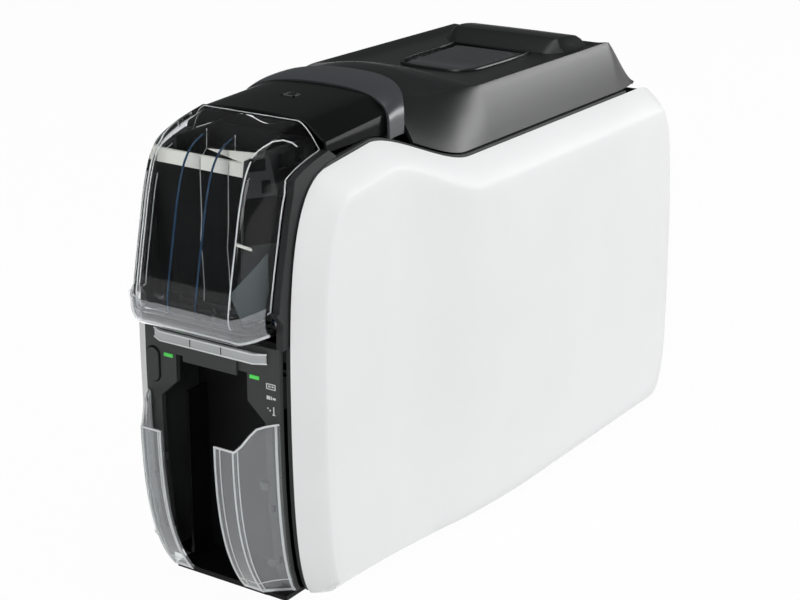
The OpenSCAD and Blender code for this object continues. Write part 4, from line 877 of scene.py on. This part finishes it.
# black skirt beside the floor of the card bin
skirts = [block((29, NOSE - 2, 3), (44, NOSE + 28, 6)), block((-44, NOSE + 10, 3), (-29, NOSE + 28, 6))]
make("bin_skirt", *join_meshes(skirts), "bin_black", "body", sharp=30, bevel=0.4)

# Carried CAD nodes get their materials
for row in frame["record"]["subparts"]:
    node = frame["nodes"][row["node"]]
    mesh = node.data
    mesh.materials.clear()
    mesh.materials.append(M[row["material_slot"]])
    for p in mesh.polygons:
        p.use_smooth = True
        p.material_index = 0
    mesh.set_sharp_from_angle(angle=math.radians(30))

# Floor, light and camera
floor_mesh = bpy.data.meshes.new("floor")
floor_mesh.from_pydata([(-9, -9, 0), (9, -9, 0), (9, 9, 0), (-9, 9, 0)], [], [[0, 1, 2, 3]])
floor = bpy.data.objects.new("floor", floor_mesh)
bpy.context.scene.collection.objects.link(floor)
fm = bpy.data.materials.new("floor")
fm.use_nodes = True
nt = fm.node_tree
nt.nodes.clear()
out = nt.nodes.new("ShaderNodeOutputMaterial")
diffuse = nt.nodes.new("ShaderNodeBsdfDiffuse")
diffuse.inputs["Color"].default_value = (0.82, 0.82, 0.82, 1)
glow = nt.nodes.new("ShaderNodeEmission")
glow.inputs["Color"].default_value = (1, 1, 1, 1)
path = nt.nodes.new("ShaderNodeLightPath")
most = nt.nodes.new("ShaderNodeMath")
most.operation = "MAXIMUM"
also = nt.nodes.new("ShaderNodeMath")
also.operation = "MAXIMUM"
share = nt.nodes.new("ShaderNodeMath")
share.operation = "MULTIPLY"
share.inputs[1].default_value = 0.97
blend = nt.nodes.new("ShaderNodeMixShader")
nt.links.new(path.outputs["Is Camera Ray"], most.inputs[0])
nt.links.new(path.outputs["Is Glossy Ray"], most.inputs[1])
nt.links.new(most.outputs[0], also.inputs[0])
nt.links.new(path.outputs["Is Transmission Ray"], also.inputs[1])
nt.links.new(also.outputs[0], share.inputs[0])
nt.links.new(share.outputs[0], blend.inputs["Fac"])
nt.links.new(diffuse.outputs[0], blend.inputs[1])
nt.links.new(glow.outputs[0], blend.inputs[2])
nt.links.new(blend.outputs[0], out.inputs["Surface"])
floor_mesh.materials.append(fm)

world = bpy.data.worlds.new("world")
bpy.context.scene.world = world
world.use_nodes = True
nt = world.node_tree
soft = nt.nodes["Background"]
soft.inputs["Color"].default_value = (0.6, 0.61, 0.62, 1)
soft.inputs["Strength"].default_value = 0.2
seen = nt.nodes.new("ShaderNodeBackground")
seen.inputs["Color"].default_value = (1, 1, 1, 1)
seen.inputs["Strength"].default_value = 1
path = nt.nodes.new("ShaderNodeLightPath")
blend = nt.nodes.new("ShaderNodeMixShader")
nt.links.new(path.outputs["Is Camera Ray"], blend.inputs["Fac"])
nt.links.new(soft.outputs[0], blend.inputs[1])
nt.links.new(seen.outputs[0], blend.inputs[2])
nt.links.new(blend.outputs[0], nt.nodes["World Output"].inputs["Surface"])


def softbox(name, at, aim, size, power):
    data = bpy.data.lights.new(name, "AREA")
    data.shape, data.size, data.size_y, data.energy = "RECTANGLE", size[0], size[1], power
    lamp = bpy.data.objects.new(name, data)
    lamp.location = at
    lamp.rotation_euler = (Vector(aim) - Vector(at)).to_track_quat("-Z", "Y").to_euler()
    bpy.context.scene.collection.objects.link(lamp)


softbox("key_right", (2.2, 1.9, 0.6), (0, 0, 0.14), (1.3, 0.9), 35)
softbox("back_right", (1.2, 2.3, 0.75), (0.05, 0, 0.2), (0.8, 0.5), 11)
softbox("top_soft", (0.3, -0.2, 2.4), (0, 0, 0.1), (2.0, 2.0), 28)
softbox("front_fill", (1.0, -2.5, 1.0), (0, -0.1, 0.1), (1.6, 1.2), 34)

cam_data = bpy.data.cameras.new("camera")
cam = bpy.data.objects.new("camera", cam_data)
bpy.context.scene.collection.objects.link(cam)
cam.location = (0.588495, -0.884350, 0.480664)
cam.rotation_euler = (math.pi / 2 - 0.3334525, 0, 0.5901685)
cam_data.sensor_width = 36
cam_data.lens = 84.14
bpy.context.scene.camera = cam
bpy.context.scene.view_settings.view_transform = "Standard"
